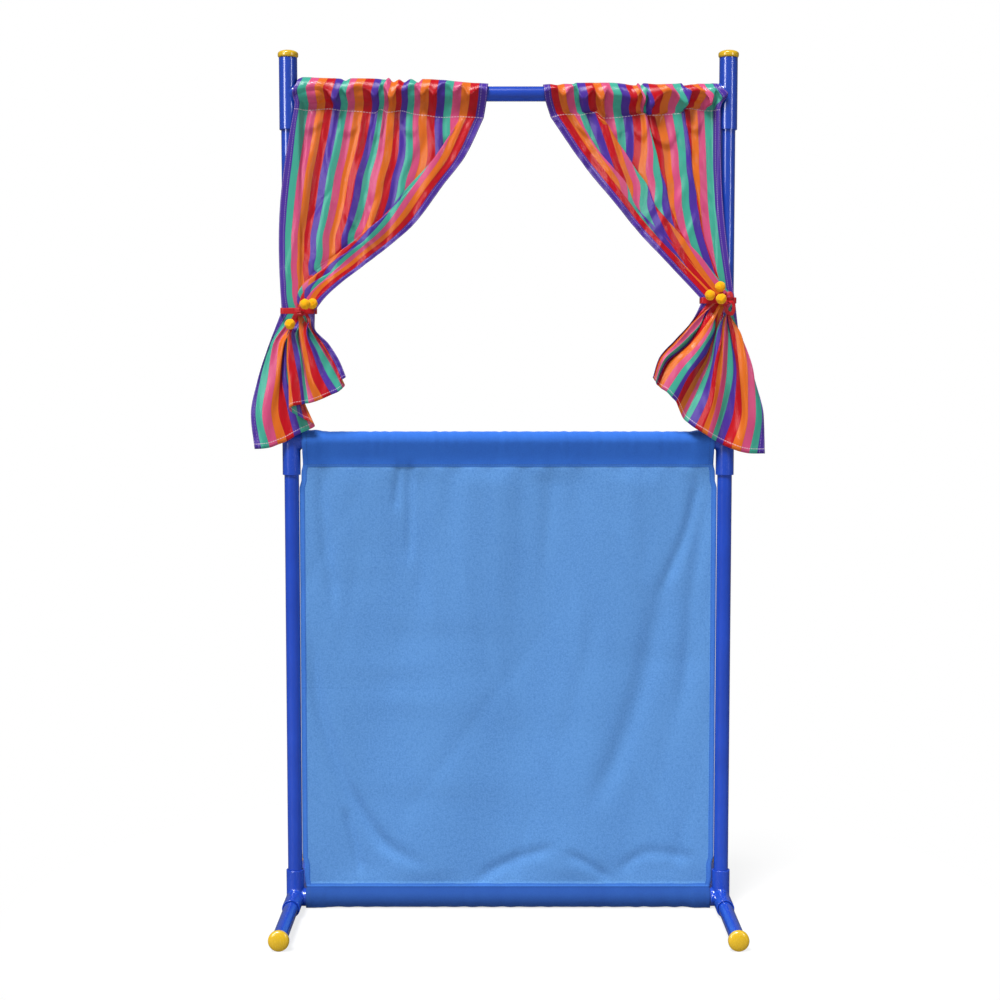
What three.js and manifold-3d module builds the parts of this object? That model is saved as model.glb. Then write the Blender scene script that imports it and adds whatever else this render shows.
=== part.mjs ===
// A child's puppet theatre stand: a knock-down frame of plastic tubes pushed into moulded fittings.
// Two striped curtains are gathered on the top rail and tied back to the posts with ribbons, and a
// cloth panel with a sewn pocket at each end hangs between the middle rail and the bottom rail.
// Millimetres. +X is the audience's right, +Y points away from the audience, +Z is up.
// The origin lies on the floor, midway between the two posts.
import * as THREE from "three";
import { mergeVertices } from "three/addons/utils/BufferGeometryUtils.js";
import { ConvexGeometry } from "three/addons/geometries/ConvexGeometry.js";
import Module from "manifold-3d";

// Frame
const postSpacing = 594;
const topRailHeight = 1120;
const middleRailHeight = 653;
const footLength = 184;

// Tubes and the sockets that they are pushed into
const tubeDiameter = 20;
const tubeWall = 1.5;
const seatClearance = 0.3;
const fittingWall = 2.05;
const teeRunHalf = 48;
const baseRunHalf = 55;
const branchLength = 39.6;
const crotchRadius = 3;
const rimChamfer = 0.5;

// Press-in caps with a domed head
const capHeight = 10;
const capWall = 1.8;
const capPlugLength = 14;
const capUnderRise = 2.4;
const capRimBand = 2.4;
const capUnderInset = 2;
const capGrip = 0.3;

// Front panel
const panelSideGap = 5.5;
const panelThickness = 0.8;
const pocketClearance = 0.25;
const floorClearance = 0.2;
const topPocketDrop = 33;
const bottomPocketDrop = 19.5;
const panelWave = 2.6;
const seamClearance = 0.3;

// Curtain cloth, as it is gathered, pleated and tied
const clothThickness = 2;
const clothClearance = 0.4;
const headerDrop = 23.5;
const headerGather = 3.2;
const waistCrowd = 1.25;
const waistWidth = 54;
const waistOverhang = 10;
const stitchPleat = 2.2;
const waistPleat = 5;
const hemPleat = 7;
const hemSetback = 26;

// Each curtain hangs in its own way. Widths are along the rail from the post's axis, outward for the
// tail's outer edge and inward for the rest. The tie lies at its rise above the middle tee, and the
// hem's outer corner at its drop below the middle rail's axis.
const leftCurtain = {
  side: -1,
  gatheredWidth: 270,
  stitchStart: 9,
  outerSwayWidth: 11,
  edgePower: 1.45,
  tieRise: 127,
  tailOuterWidth: 48.5,
  tailInnerWidth: 77,
  tailSwayWidth: 19.8,
  hemDrop: 12,
  hemRise: 98,
  hemPower: 2,
  tie: {
    knotAcross: 14,
    loopWidth: 0,
    loopDrop: 0,
    pompomShares: [
      [-0.7, 0.3, -1.2],
      [0.75, 1.2, 0.55],
      [1.3, 0.3, 0.62],
    ],
  },
};
const rightCurtain = {
  side: 1,
  gatheredWidth: 250,
  stitchStart: 12,
  outerSwayWidth: -6,
  edgePower: 1.1,
  tieRise: 141,
  tailOuterWidth: 52.5,
  tailInnerWidth: 97,
  tailSwayWidth: 7,
  hemDrop: 18,
  hemRise: 95,
  hemPower: 2.2,
  tie: {
    knotAcross: 8,
    loopWidth: 15,
    loopDrop: 19,
    pompomShares: [
      [0.25, 0.8, 0.1],
      [1.2, 0.3, 0.45],
      [0.3, 0.3, 1.2],
    ],
  },
};

// Ribbon ties and their pompoms
const ribbonWidth = 8.4;
const ribbonThickness = 0.9;
const ribbonEndWidth = 5;
const waistCorner = 3.5;
const knotWidth = 11;
const knotDepth = 7;
const pompomDiameter = 15;
const pompomGap = 0.3;

// How finely round surfaces are cut into facets, and how vertices are welded
const sides = 20;
const domeSteps = 3;
const crotchArc = 3;
const crotchSteps = 6;
const beltSides = 12;
const weld = 0.001;
const overrun = 1;

// Sizes that follow from the ones above
const tubeRadius = tubeDiameter / 2;
const tubeBore = tubeRadius - tubeWall;
const socketRadius = tubeRadius + seatClearance;
const fittingRadius = socketRadius + fittingWall;
const socketFloor = fittingRadius;
const tubeSeat = socketFloor + seatClearance;
const flatShare = Math.cos(Math.PI / sides);
const pocketSegments = 14;
const pocketFlatShare = Math.cos((0.75 * Math.PI) / pocketSegments);
const pocketRadius = (fittingRadius + pocketClearance) / pocketFlatShare;
const footAxis = pocketRadius + panelThickness + floorClearance;
const capRadius = footAxis / flatShare;
const postX = postSpacing / 2;
const panelHalf = postX - tubeRadius - panelSideGap;
const waistSetback = tubeRadius + clothClearance + waistPleat + clothThickness / 2;
const stitchHeight = topRailHeight - headerDrop - seatClearance;
const neckHalf = ribbonWidth / 2 + clothClearance;
const waistHeight = (curtain) => middleRailHeight + teeRunHalf + curtain.tieRise;
const hemHeight = (curtain) => middleRailHeight - curtain.hemDrop;

const lerp = THREE.MathUtils.lerp;
const smoothstep = THREE.MathUtils.smoothstep;

const wasm = await Module();
wasm.setup();

const plastic = (color, roughness) => new THREE.MeshStandardMaterial({ color, roughness, flatShading: true });
const tubeBlue = plastic(0x284bbe, 0.3);
const fittingBlue = plastic(0x2a50c4, 0.35);
const capYellow = plastic(0xebc82d, 0.38);
const satinPink = plastic(0xdc6496, 0.42);
const panelBlue = plastic(0x5a94d8, 0.85);
const ribbonRed = plastic(0xc81423, 0.5);
const yarnYellow = plastic(0xf6bc26, 0.95);

// A closed geometry as a solid that can be joined and cut
function solidOf(geometry) {
  const bare = geometry.index ? geometry.toNonIndexed() : geometry.clone();
  bare.deleteAttribute("normal");
  bare.deleteAttribute("uv");
  const merged = mergeVertices(bare, weld);
  const vertProperties = merged.getAttribute("position").array;
  const triVerts = new Uint32Array(merged.index.array);
  return new wasm.Manifold(new wasm.Mesh({ numProp: 3, vertProperties, triVerts }));
}

// A joined or cut solid as a geometry that three.js can draw
function geometryOf(solid) {
  const { vertProperties, triVerts } = solid.getMesh();
  const geometry = new THREE.BufferGeometry();
  geometry.setAttribute("position", new THREE.BufferAttribute(vertProperties, 3));
  geometry.setIndex(new THREE.BufferAttribute(triVerts, 1));
  return geometry;
}

function named(name, geometry, material) {
  const mesh = new THREE.Mesh(geometry, material);
  mesh.name = name;
  return mesh;
}

// A profile of [radius, height] points turned about +Z, with a flat of the polygon facing each axis
function revolve(profile) {
  const points = profile.map(([radius, height]) => new THREE.Vector2(radius, height));
  const geometry = new THREE.LatheGeometry(points, sides, Math.PI / sides);
  return geometry.rotateX(Math.PI / 2);
}

// Turns a geometry made along +Z so that it points along another direction
function aim(geometry, direction) {
  const turn = new THREE.Quaternion().setFromUnitVectors(new THREE.Vector3(0, 0, 1), direction);
  return geometry.applyQuaternion(turn);
}

// Closes a front and a back grid of points into one solid skin; flip when the frame is mirrored
function closedSheet(columns, rows, front, back, flip) {
  const positions = [];
  const indices = [];
  const perFace = (columns + 1) * (rows + 1);
  for (const face of [front, back]) {
    for (let row = 0; row <= rows; row += 1) {
      for (let column = 0; column <= columns; column += 1) {
        positions.push(...face(column / columns, row / rows).toArray());
      }
    }
  }
  const at = (face, column, row) => face * perFace + row * (columns + 1) + column;
  const quad = (a, b, c, d) => indices.push(...(flip ? [a, c, b, a, d, c] : [a, b, c, a, c, d]));
  for (let row = 0; row < rows; row += 1) {
    for (let column = 0; column < columns; column += 1) {
      quad(at(0, column, row), at(0, column, row + 1), at(0, column + 1, row + 1), at(0, column + 1, row));
      quad(at(1, column, row), at(1, column + 1, row), at(1, column + 1, row + 1), at(1, column, row + 1));
    }
    quad(at(0, 0, row), at(1, 0, row), at(1, 0, row + 1), at(0, 0, row + 1));
    quad(at(0, columns, row), at(0, columns, row + 1), at(1, columns, row + 1), at(1, columns, row));
  }
  for (let column = 0; column < columns; column += 1) {
    quad(at(0, column, 0), at(0, column + 1, 0), at(1, column + 1, 0), at(1, column, 0));
    quad(at(0, column, rows), at(1, column, rows), at(1, column + 1, rows), at(0, column + 1, rows));
  }
  const geometry = new THREE.BufferGeometry();
  geometry.setAttribute("position", new THREE.Float32BufferAttribute(positions, 3));
  geometry.setIndex(indices);
  return geometry;
}

// A straight tube along +Z, centred on its middle
function tubeGeometry(length) {
  const end = length / 2;
  return revolve([
    [tubeBore, -end],
    [tubeRadius, -end],
    [tubeRadius, end],
    [tubeBore, end],
    [tubeBore, -end],
  ]);
}

// A moulded pipe fitting

const up = new THREE.Vector3(0, 0, 1);
const inward = new THREE.Vector3(1, 0, 0);
const forward = new THREE.Vector3(0, -1, 0);
const backward = new THREE.Vector3(0, 1, 0);

// An arm's outside, with a chamfer at its rim. A through arm also runs the other way.
function armOutside({ direction, reach, through }) {
  const rim = [
    [fittingRadius, reach - rimChamfer],
    [fittingRadius - rimChamfer, reach],
    [0, reach],
  ];
  return solidOf(aim(revolve([...otherEnd(rim, through), ...rim]), direction));
}

// The socket with its stop for the tube's end, and the narrower passage behind it
function armBore({ direction, reach, through }) {
  const socket = [
    [tubeBore, socketFloor],
    [socketRadius, socketFloor],
    [socketRadius, reach + overrun],
    [0, reach + overrun],
  ];
  return solidOf(aim(revolve([...otherEnd(socket, through), ...socket]), direction));
}

// A profile's mirror image below the fitting's centre, or a flat start at the centre
function otherEnd(profile, through) {
  if (through) {
    return profile.map(([radius, height]) => [radius, -height]).reverse();
  }
  return [
    [0, 0],
    [profile[0][0], 0],
  ];
}

// The rounded web where two square arms meet: a concave arc carried along the mitre curve of the arms,
// which fades out where the arms' surfaces become tangent
function crotch(first, second) {
  const across = new THREE.Vector3().crossVectors(first, second);
  const radius = fittingRadius * flatShare;
  const rootShare = 0.5;
  const sinkShare = 0.03;
  const sweepShare = 0.9;
  const point = (arcShare, widthShare, inner) => {
    const sweep = lerp(-Math.PI / 2, Math.PI / 2, widthShare) * sweepShare;
    const corner = radius * Math.cos(sweep);
    const size = (crotchRadius * corner) / radius;
    const centre = corner + size * (1 - sinkShare);
    const turn = (arcShare * Math.PI) / 2;
    const alongFirst = inner ? corner * rootShare : centre - size * Math.sin(turn);
    const alongSecond = inner ? corner * rootShare : centre - size * Math.cos(turn);
    return new THREE.Vector3()
      .addScaledVector(first, alongFirst)
      .addScaledVector(second, alongSecond)
      .addScaledVector(across, radius * Math.sin(sweep));
  };
  const front = (u, v) => point(u, v, false);
  const back = (u, v) => point(u, v, true);
  return solidOf(closedSheet(crotchArc, crotchSteps, front, back, true));
}

// All arms of a fitting lie square to each other, so each pair of them gets a crotch. The run, the
// through arm, comes first in the list.
function fittingSolid(arms) {
  let body = arms.map(armOutside).reduce((joined, arm) => joined.add(arm));
  arms.forEach((arm, index) => {
    for (const other of arms.slice(index + 1)) {
      body = body.add(crotch(arm.direction, other.direction));
      if (arm.through) {
        body = body.add(crotch(other.direction, arm.direction.clone().negate()));
      }
    }
  });
  return arms.map(armBore).reduce((left, bore) => left.subtract(bore), body);
}

const teeArms = [
  { direction: up, reach: teeRunHalf, through: true },
  { direction: inward, reach: branchLength, through: false },
];
const baseArms = [
  { direction: forward, reach: baseRunHalf, through: true },
  { direction: up, reach: branchLength, through: false },
  { direction: inward, reach: branchLength, through: false },
];

// A press-in cap along +Z: a hollow plug below the seat at height 0 and a domed head above it.
// The head's widest band is a short cylinder, whose lowest flat carries the stand on a foot.
function capGeometry(holeRadius) {
  const plugRadius = holeRadius - capGrip;
  const bandTop = capUnderRise + capRimBand;
  const dome = [];
  for (let step = 0; step < domeSteps; step += 1) {
    const turn = (step / domeSteps) * (Math.PI / 2);
    dome.push([capRadius * Math.cos(turn), bandTop + (capHeight - bandTop) * Math.sin(turn)]);
  }
  return revolve([
    [0, 0],
    [plugRadius - capWall, 0],
    [plugRadius - capWall, -capPlugLength],
    [plugRadius - rimChamfer, -capPlugLength],
    [plugRadius, -capPlugLength + rimChamfer],
    [plugRadius, 0],
    [capRadius - capUnderInset, 0],
    [capRadius, capUnderRise],
    ...dome,
    [0, capHeight],
  ]);
}

// Curtains

const pleats = 6;
const samplesPerPleat = 4;
const drapeRows = 7;
const neckRows = 1;
const tailRows = 5;
const headerColumns = 24;
const headerInnerColumns = 8;
const headerGathers = 8;
const headerAround = 12;

// How far in front of the rail's plane the cloth hangs where it crosses the post's fitting
function overPost(across) {
  const clear = fittingRadius + clothClearance + stitchPleat + clothThickness / 2;
  return clear * (1 - smoothstep(across, fittingRadius + clothThickness, 2 * fittingRadius));
}

// The cloth's outline and lie along its length, as a stretch from a start to an end that t blends
function drapeStretch(curtain, v) {
  const waistInner = waistWidth - waistOverhang;
  const t = v % 1;
  if (v < 1) {
    return {
      outer: lerp(curtain.stitchStart, -waistOverhang, t) - curtain.outerSwayWidth * Math.sin(Math.PI * t),
      inner: lerp(curtain.gatheredWidth, waistInner, t ** curtain.edgePower),
      crowd: lerp(1, waistCrowd, t),
      height: () => lerp(stitchHeight, waistHeight(curtain) + neckHalf, t),
      setback: (across) => lerp(overPost(across), waistSetback, smoothstep(t, 0, 1)),
      pleat: lerp(stitchPleat, waistPleat, t),
    };
  }
  if (v < 2) {
    return {
      outer: -waistOverhang,
      inner: waistInner,
      crowd: waistCrowd,
      height: () => waistHeight(curtain) + lerp(neckHalf, -neckHalf, t),
      setback: () => waistSetback,
      pleat: waistPleat,
    };
  }
  const s = v - 2;
  return {
    outer: lerp(-waistOverhang, -curtain.tailOuterWidth, s) - curtain.tailSwayWidth * Math.sin(Math.PI * s),
    inner: lerp(waistInner, curtain.tailInnerWidth, s),
    crowd: lerp(waistCrowd, 1, s),
    height: (share) => {
      const hem = hemHeight(curtain) + curtain.hemRise * share ** curtain.hemPower;
      return lerp(waistHeight(curtain) - neckHalf, hem, s);
    },
    setback: () => lerp(waistSetback, hemSetback, s),
    pleat: lerp(waistPleat, hemPleat, s),
  };
}

// A point of the cloth's middle surface. u runs from the post's edge to the free edge along the
// cloth's width, and v from the stitch line at 0 over the tied neck between 1 and 2 to the hem at 3.
// The pleats are one cosine wave over the width, crowded towards the free edge at the waist.
function drapePoint(curtain, u, v) {
  const lie = drapeStretch(curtain, v);
  const share = 1 - (1 - u) ** lie.crowd;
  const across = lerp(lie.outer, lie.inner, share);
  const pleat = lie.pleat * Math.cos(2 * Math.PI * pleats * u);
  return new THREE.Vector3(curtain.side * (postX - across), pleat - lie.setback(across), lie.height(share));
}

// The row of the cloth's grid as a place along its length
function rowPlace(row) {
  if (row < drapeRows) {
    return row / drapeRows;
  }
  if (row < drapeRows + neckRows) {
    return 1 + (row - drapeRows) / neckRows;
  }
  return 2 + (row - drapeRows - neckRows) / tailRows;
}

function drapeGeometry(curtain) {
  const rows = drapeRows + neckRows + tailRows;
  const half = new THREE.Vector3(0, clothThickness / 2, 0);
  const front = (u, v) => drapePoint(curtain, u, rowPlace(Math.round(v * rows))).sub(half);
  const back = (u, v) => drapePoint(curtain, u, rowPlace(Math.round(v * rows))).add(half);
  return closedSheet(pleats * samplesPerPleat, rows, front, back, curtain.side > 0);
}

// The pocket that is gathered on the rail: a teardrop loop about the rail's axis, whose top
// rises and falls with the gathers. turn is 0 at the top and runs once round the loop.
function headerGeometry(curtain) {
  const start = fittingRadius + crotchRadius + clothClearance;
  const tipPower = 5;
  const loopShare = Math.cos(Math.PI / headerAround);
  const place = (u, v, topRadius, tip) => {
    const turn = 2 * Math.PI * v;
    const sink = ((1 - Math.cos(turn)) / 2) ** tipPower;
    const radius = lerp(topRadius, tip, sink);
    const x = curtain.side * (postX - lerp(start, curtain.gatheredWidth, u));
    return new THREE.Vector3(x, radius * Math.sin(turn), topRailHeight + radius * Math.cos(turn));
  };
  const innerRadius = (u) => {
    const across = lerp(start, curtain.gatheredWidth, u);
    const past = THREE.MathUtils.clamp((across - branchLength) / (curtain.gatheredWidth - branchLength), 0, 1);
    return (lerp(fittingRadius, tubeRadius, past) + clothClearance) / loopShare;
  };
  const outerRadius = (u) => {
    const gather = (1 - Math.cos(2 * Math.PI * headerGathers * u)) / 2;
    return innerRadius(u) + clothThickness + headerGather * gather;
  };
  const outside = (u, v) => place(u, v, outerRadius(u), headerDrop);
  const inside = (u, v) => place(u, v, innerRadius(u), headerDrop - clothThickness);
  const columns = [headerColumns, headerInnerColumns];
  return sleeveGeometry(columns, headerAround, [outside, inside], curtain.side > 0);
}

// Joins an outer and an inner loop surface into a sleeve with open ends
function sleeveGeometry(columns, around, surfaces, flip) {
  const positions = [];
  const indices = [];
  surfaces.forEach((surface, face) => {
    for (let column = 0; column <= columns[face]; column += 1) {
      for (let step = 0; step < around; step += 1) {
        positions.push(...surface(column / columns[face], step / around).toArray());
      }
    }
  });
  const outer = (column, step) => column * around + (step % around);
  const inner = (column, step) => (columns[0] + 1 + column) * around + (step % around);
  const quad = (a, b, c, d) => indices.push(...(flip ? [a, c, b, a, d, c] : [a, b, c, a, c, d]));
  for (let step = 0; step < around; step += 1) {
    for (let column = 0; column < columns[0]; column += 1) {
      quad(outer(column, step), outer(column + 1, step), outer(column + 1, step + 1), outer(column, step + 1));
    }
    for (let column = 0; column < columns[1]; column += 1) {
      quad(inner(column, step), inner(column, step + 1), inner(column + 1, step + 1), inner(column + 1, step));
    }
    quad(outer(0, step), outer(0, step + 1), inner(0, step + 1), inner(0, step));
    const [lastOuter, lastInner] = columns;
    quad(outer(lastOuter, step), inner(lastInner, step), inner(lastInner, step + 1), outer(lastOuter, step + 1));
  }
  const geometry = new THREE.BufferGeometry();
  geometry.setAttribute("position", new THREE.Float32BufferAttribute(positions, 3));
  geometry.setIndex(indices);
  return geometry;
}

// Front panel

const panelRows = 7;
const panelColumns = 12;

// A teardrop about a rail: an arc round the rail that narrows to a tip at a distance from its axis.
// lift is 1 where the tip lies above the rail and -1 where it hangs below it.
function teardropPoints(centre, radius, tip, lift) {
  const lean = Math.asin(radius / tip);
  const points = [];
  for (let step = 0; step <= pocketSegments; step += 1) {
    const angle = lerp(lean, -Math.PI - lean, step / pocketSegments);
    points.push(new THREE.Vector2(radius * Math.cos(angle), centre + lift * radius * Math.sin(angle)));
  }
  return points;
}

// A sewn pocket of the panel: its cloth goes round a rail and comes together at the seam
function pocketGeometry(centre, drop, lift) {
  const skin = panelThickness / 2;
  const seam = centre + lift * drop;
  const outer = teardropPoints(centre, pocketRadius + panelThickness, drop, lift);
  const outline = [new THREE.Vector2(skin, seam), ...outer, new THREE.Vector2(-skin, seam)];
  const shape = new THREE.Shape(lift > 0 ? outline.reverse() : outline);
  const tip = drop - 2 * panelThickness;
  const hole = teardropPoints(centre, pocketRadius, tip, lift);
  hole.push(new THREE.Vector2(0, centre + lift * tip));
  shape.holes.push(new THREE.Path(hole));
  const geometry = new THREE.ExtrudeGeometry(shape, { depth: 2 * panelHalf, bevelEnabled: false });
  geometry.applyMatrix4(new THREE.Matrix4().makeBasis(backward, up, inward));
  return geometry.translate(-panelHalf, 0, 0);
}

// The single cloth between the two seams, in shallow upright waves that are deepest halfway up
function panelPoint(u, v) {
  const waves = 2.5;
  const leanShare = 0.3;
  const low = footAxis + bottomPocketDrop + seamClearance;
  const high = middleRailHeight - topPocketDrop - seamClearance;
  const phase = (2 * u - 1 + leanShare * v) * Math.PI * waves;
  const wave = panelWave * Math.sin(Math.PI * v) * Math.sin(phase);
  return new THREE.Vector3(lerp(-panelHalf, panelHalf, u), wave, lerp(low, high, v));
}

function panelGeometry() {
  const half = new THREE.Vector3(0, panelThickness / 2, 0);
  const front = (u, v) => panelPoint(u, v).sub(half);
  const back = (u, v) => panelPoint(u, v).add(half);
  return closedSheet(panelColumns, panelRows, front, back, true);
}

// Ties

// Points of the circles that the tie's band is stretched round: the post, and the two front corners
// of the gathered waist
function beltPoints(curtain, grow, low, high) {
  const front = waistSetback + waistPleat + clothThickness / 2 - waistCorner;
  const circles = [
    [0, 0, tubeRadius],
    [waistCorner - waistOverhang, -front, waistCorner],
    [waistWidth - waistOverhang - waistCorner, -front, waistCorner],
    [waistWidth - waistOverhang - waistCorner, -tubeRadius, waistCorner],
  ];
  const points = [];
  for (const [across, y, radius] of circles) {
    for (let step = 0; step < beltSides; step += 1) {
      const angle = (2 * Math.PI * (step + 0.5)) / beltSides;
      const reach = (radius + grow) / Math.cos(Math.PI / beltSides);
      const x = curtain.side * (postX - across - reach * Math.cos(angle));
      points.push(new THREE.Vector3(x, y + reach * Math.sin(angle), low));
      points.push(new THREE.Vector3(x, y + reach * Math.sin(angle), high));
    }
  }
  return points;
}

function bandGeometry(curtain) {
  const low = waistHeight(curtain) - ribbonWidth / 2;
  const high = waistHeight(curtain) + ribbonWidth / 2;
  const outer = beltPoints(curtain, clothClearance + ribbonThickness, low, high);
  const inner = beltPoints(curtain, clothClearance, low - overrun, high + overrun);
  return geometryOf(solidOf(new ConvexGeometry(outer)).subtract(solidOf(new ConvexGeometry(inner))));
}

// A flat strip of ribbon carried along a curve, its width lying along a given direction
function ribbonStrip(points, width, widthAlong) {
  const strips = 6;
  const curve = new THREE.CatmullRomCurve3(points);
  const place = (u, v, push) => {
    const tangent = curve.getTangent(u);
    const normal = new THREE.Vector3().crossVectors(tangent, widthAlong).normalize();
    const across = new THREE.Vector3().crossVectors(normal, tangent).normalize();
    return curve
      .getPoint(u)
      .addScaledVector(across, width * (v - 0.5))
      .addScaledVector(normal, (push * ribbonThickness) / 2);
  };
  const front = (u, v) => place(u, v, 1);
  const back = (u, v) => place(u, v, -1);
  return solidOf(closedSheet(strips, 1, front, back, true));
}

// The knot lies against the front of the band
function knotCentre(curtain) {
  const bandFront = waistSetback + waistPleat + clothThickness / 2 + clothClearance + ribbonThickness;
  const x = curtain.side * (postX - curtain.tie.knotAcross);
  return new THREE.Vector3(x, -bandFront - clothClearance - knotDepth / 2, waistHeight(curtain));
}

// How far in front of the rail's plane the cloth's front lies at a height, at and below the waist
function tailFront(curtain, height) {
  const top = waistHeight(curtain) - neckHalf;
  const shortest = top - hemHeight(curtain) - curtain.hemRise;
  const s = THREE.MathUtils.clamp((top - height) / shortest, 0, 1);
  return lerp(waistSetback + waistPleat, hemSetback + hemPleat, s) + clothThickness / 2;
}

// Pompom places are shares of a pompom's diameter from the knot: inward, forward and up. A pompom
// lies against the cloth's front where it would sink into it.
function pompomCentre(curtain, [inShare, forwardShare, upShare]) {
  const offset = new THREE.Vector3(-curtain.side * inShare, -forwardShare, upShare);
  const centre = knotCentre(curtain).addScaledVector(offset, pompomDiameter);
  const radius = pompomDiameter / 2;
  const front = tailFront(curtain, centre.z - radius) + pompomGap + radius;
  centre.y = Math.min(centre.y, -front);
  return centre;
}

// The knot, a ribbon end that runs to each pompom, and a loop of ribbon where the tie has one
function bowSolid(curtain) {
  const centre = knotCentre(curtain);
  const knot = new THREE.SphereGeometry(1, sides / 2, sides / 3);
  knot.scale(knotWidth / 2, knotDepth / 2, ribbonWidth / 2);
  knot.translate(centre.x, centre.y, centre.z);
  let bow = solidOf(knot);
  for (const shares of curtain.tie.pompomShares) {
    const target = pompomCentre(curtain, shares);
    const away = new THREE.Vector3().subVectors(centre, target).normalize();
    const end = target.addScaledVector(away, pompomDiameter / 2 + pompomGap);
    const middle = centre.clone().lerp(end, 0.5);
    bow = bow.add(ribbonStrip([centre, middle, end], ribbonEndWidth, new THREE.Vector3(0, 1, 0)));
  }
  if (curtain.tie.loopWidth > 0) {
    bow = bow.add(bowLoop(curtain, centre));
  }
  return bow;
}

// A drop-shaped loop that leaves the knot outward and comes back to it from below
function bowLoop(curtain, centre) {
  const { loopWidth, loopDrop } = curtain.tie;
  const outlineShares = [
    [0, 0],
    [0.7, 0.15],
    [1, -0.45],
    [0.6, -1],
    [0.1, -0.75],
    [0, 0],
  ];
  const points = outlineShares.map(([outShare, riseShare]) => {
    return new THREE.Vector3(curtain.side * outShare * loopWidth, 0, riseShare * loopDrop).add(centre);
  });
  return ribbonStrip(points, ribbonEndWidth, new THREE.Vector3(0, 1, 0));
}

function addTie(curtain, prefix) {
  theatre.add(named(`${prefix}_tie_band`, bandGeometry(curtain), ribbonRed));
  theatre.add(named(`${prefix}_tie_bow`, geometryOf(bowSolid(curtain)), ribbonRed));
  curtain.tie.pompomShares.forEach((shares, index) => {
    const ball = new THREE.IcosahedronGeometry(pompomDiameter / 2, 1);
    const pompom = named(`${prefix}_pompom_${index + 1}`, ball, yarnYellow);
    pompom.position.copy(pompomCentre(curtain, shares));
    theatre.add(pompom);
  });
}

function addTube(parent, name, direction, start, end) {
  const tube = named(name, tubeGeometry(end - start), tubeBlue);
  tube.quaternion.setFromUnitVectors(up, direction);
  tube.position.copy(direction).multiplyScalar((start + end) / 2);
  parent.add(tube);
}

// One side of the frame about its post's axis: two tees, the base connector, the posts, the two
// foot tubes and the three caps. The fittings' inward arms point at the other side.
function addFrameSide(prefix, side) {
  const post = new THREE.Group();
  post.position.x = side * postX;
  theatre.add(post);
  const turn = side > 0 ? Math.PI : 0;
  for (const [name, arms, height] of [
    ["top_tee", teeArms, topRailHeight],
    ["middle_tee", teeArms, middleRailHeight],
    ["base_connector", baseArms, footAxis],
  ]) {
    const fitting = named(`${prefix}_${name}`, geometryOf(fittingSolid(arms)), fittingBlue);
    fitting.rotation.z = turn;
    fitting.position.z = height;
    post.add(fitting);
  }
  addTube(post, `${prefix}_upper_post`, up, middleRailHeight + tubeSeat, topRailHeight - tubeSeat);
  addTube(post, `${prefix}_lower_post`, up, footAxis + tubeSeat, middleRailHeight - tubeSeat);
  const cap = named(`${prefix}_top_cap`, capGeometry(socketRadius), capYellow);
  cap.position.z = topRailHeight + teeRunHalf + seatClearance;
  post.add(cap);
  for (const [end, direction] of [
    ["front", forward],
    ["rear", backward],
  ]) {
    const foot = new THREE.Group();
    foot.position.z = footAxis;
    addTube(foot, `${prefix}_${end}_foot_tube`, direction, tubeSeat, footLength);
    const footCap = named(`${prefix}_${end}_foot_cap`, aim(capGeometry(tubeBore), direction), capYellow);
    footCap.position.copy(direction).multiplyScalar(footLength + seatClearance);
    foot.add(footCap);
    post.add(foot);
  }
}

function addRail(name, height) {
  const rail = new THREE.Group();
  rail.position.z = height;
  addTube(rail, name, inward, tubeSeat - postX, postX - tubeSeat);
  theatre.add(rail);
}

const theatre = new THREE.Group();
addFrameSide("left", -1);
addFrameSide("right", 1);
addRail("top_rail", topRailHeight);
addRail("middle_rail", middleRailHeight);
addRail("bottom_rail", footAxis);
theatre.add(named("front_panel", panelGeometry(), panelBlue));
const topPocket = pocketGeometry(middleRailHeight, topPocketDrop, -1);
theatre.add(named("panel_top_pocket", topPocket, panelBlue));
const bottomPocket = pocketGeometry(footAxis, bottomPocketDrop, 1);
theatre.add(named("panel_bottom_pocket", bottomPocket, panelBlue));
for (const [prefix, curtain] of [
  ["left", leftCurtain],
  ["right", rightCurtain],
]) {
  theatre.add(named(`${prefix}_curtain_header`, headerGeometry(curtain), satinPink));
  theatre.add(named(`${prefix}_curtain_drape`, drapeGeometry(curtain), satinPink));
  addTie(curtain, prefix);
}

export default theatre;
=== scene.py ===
"""A child's puppet theatre stand: plastic tube frame, striped satin curtains, cloth panel and ribbon ties.

Lengths are in metres, and in millimetres in the tables of the cloth. +X is the audience's right, +Y points
away from the audience and +Z is up. On a curtain, across runs inward along the rail from the post's axis
and depth runs towards the audience.
"""

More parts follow.
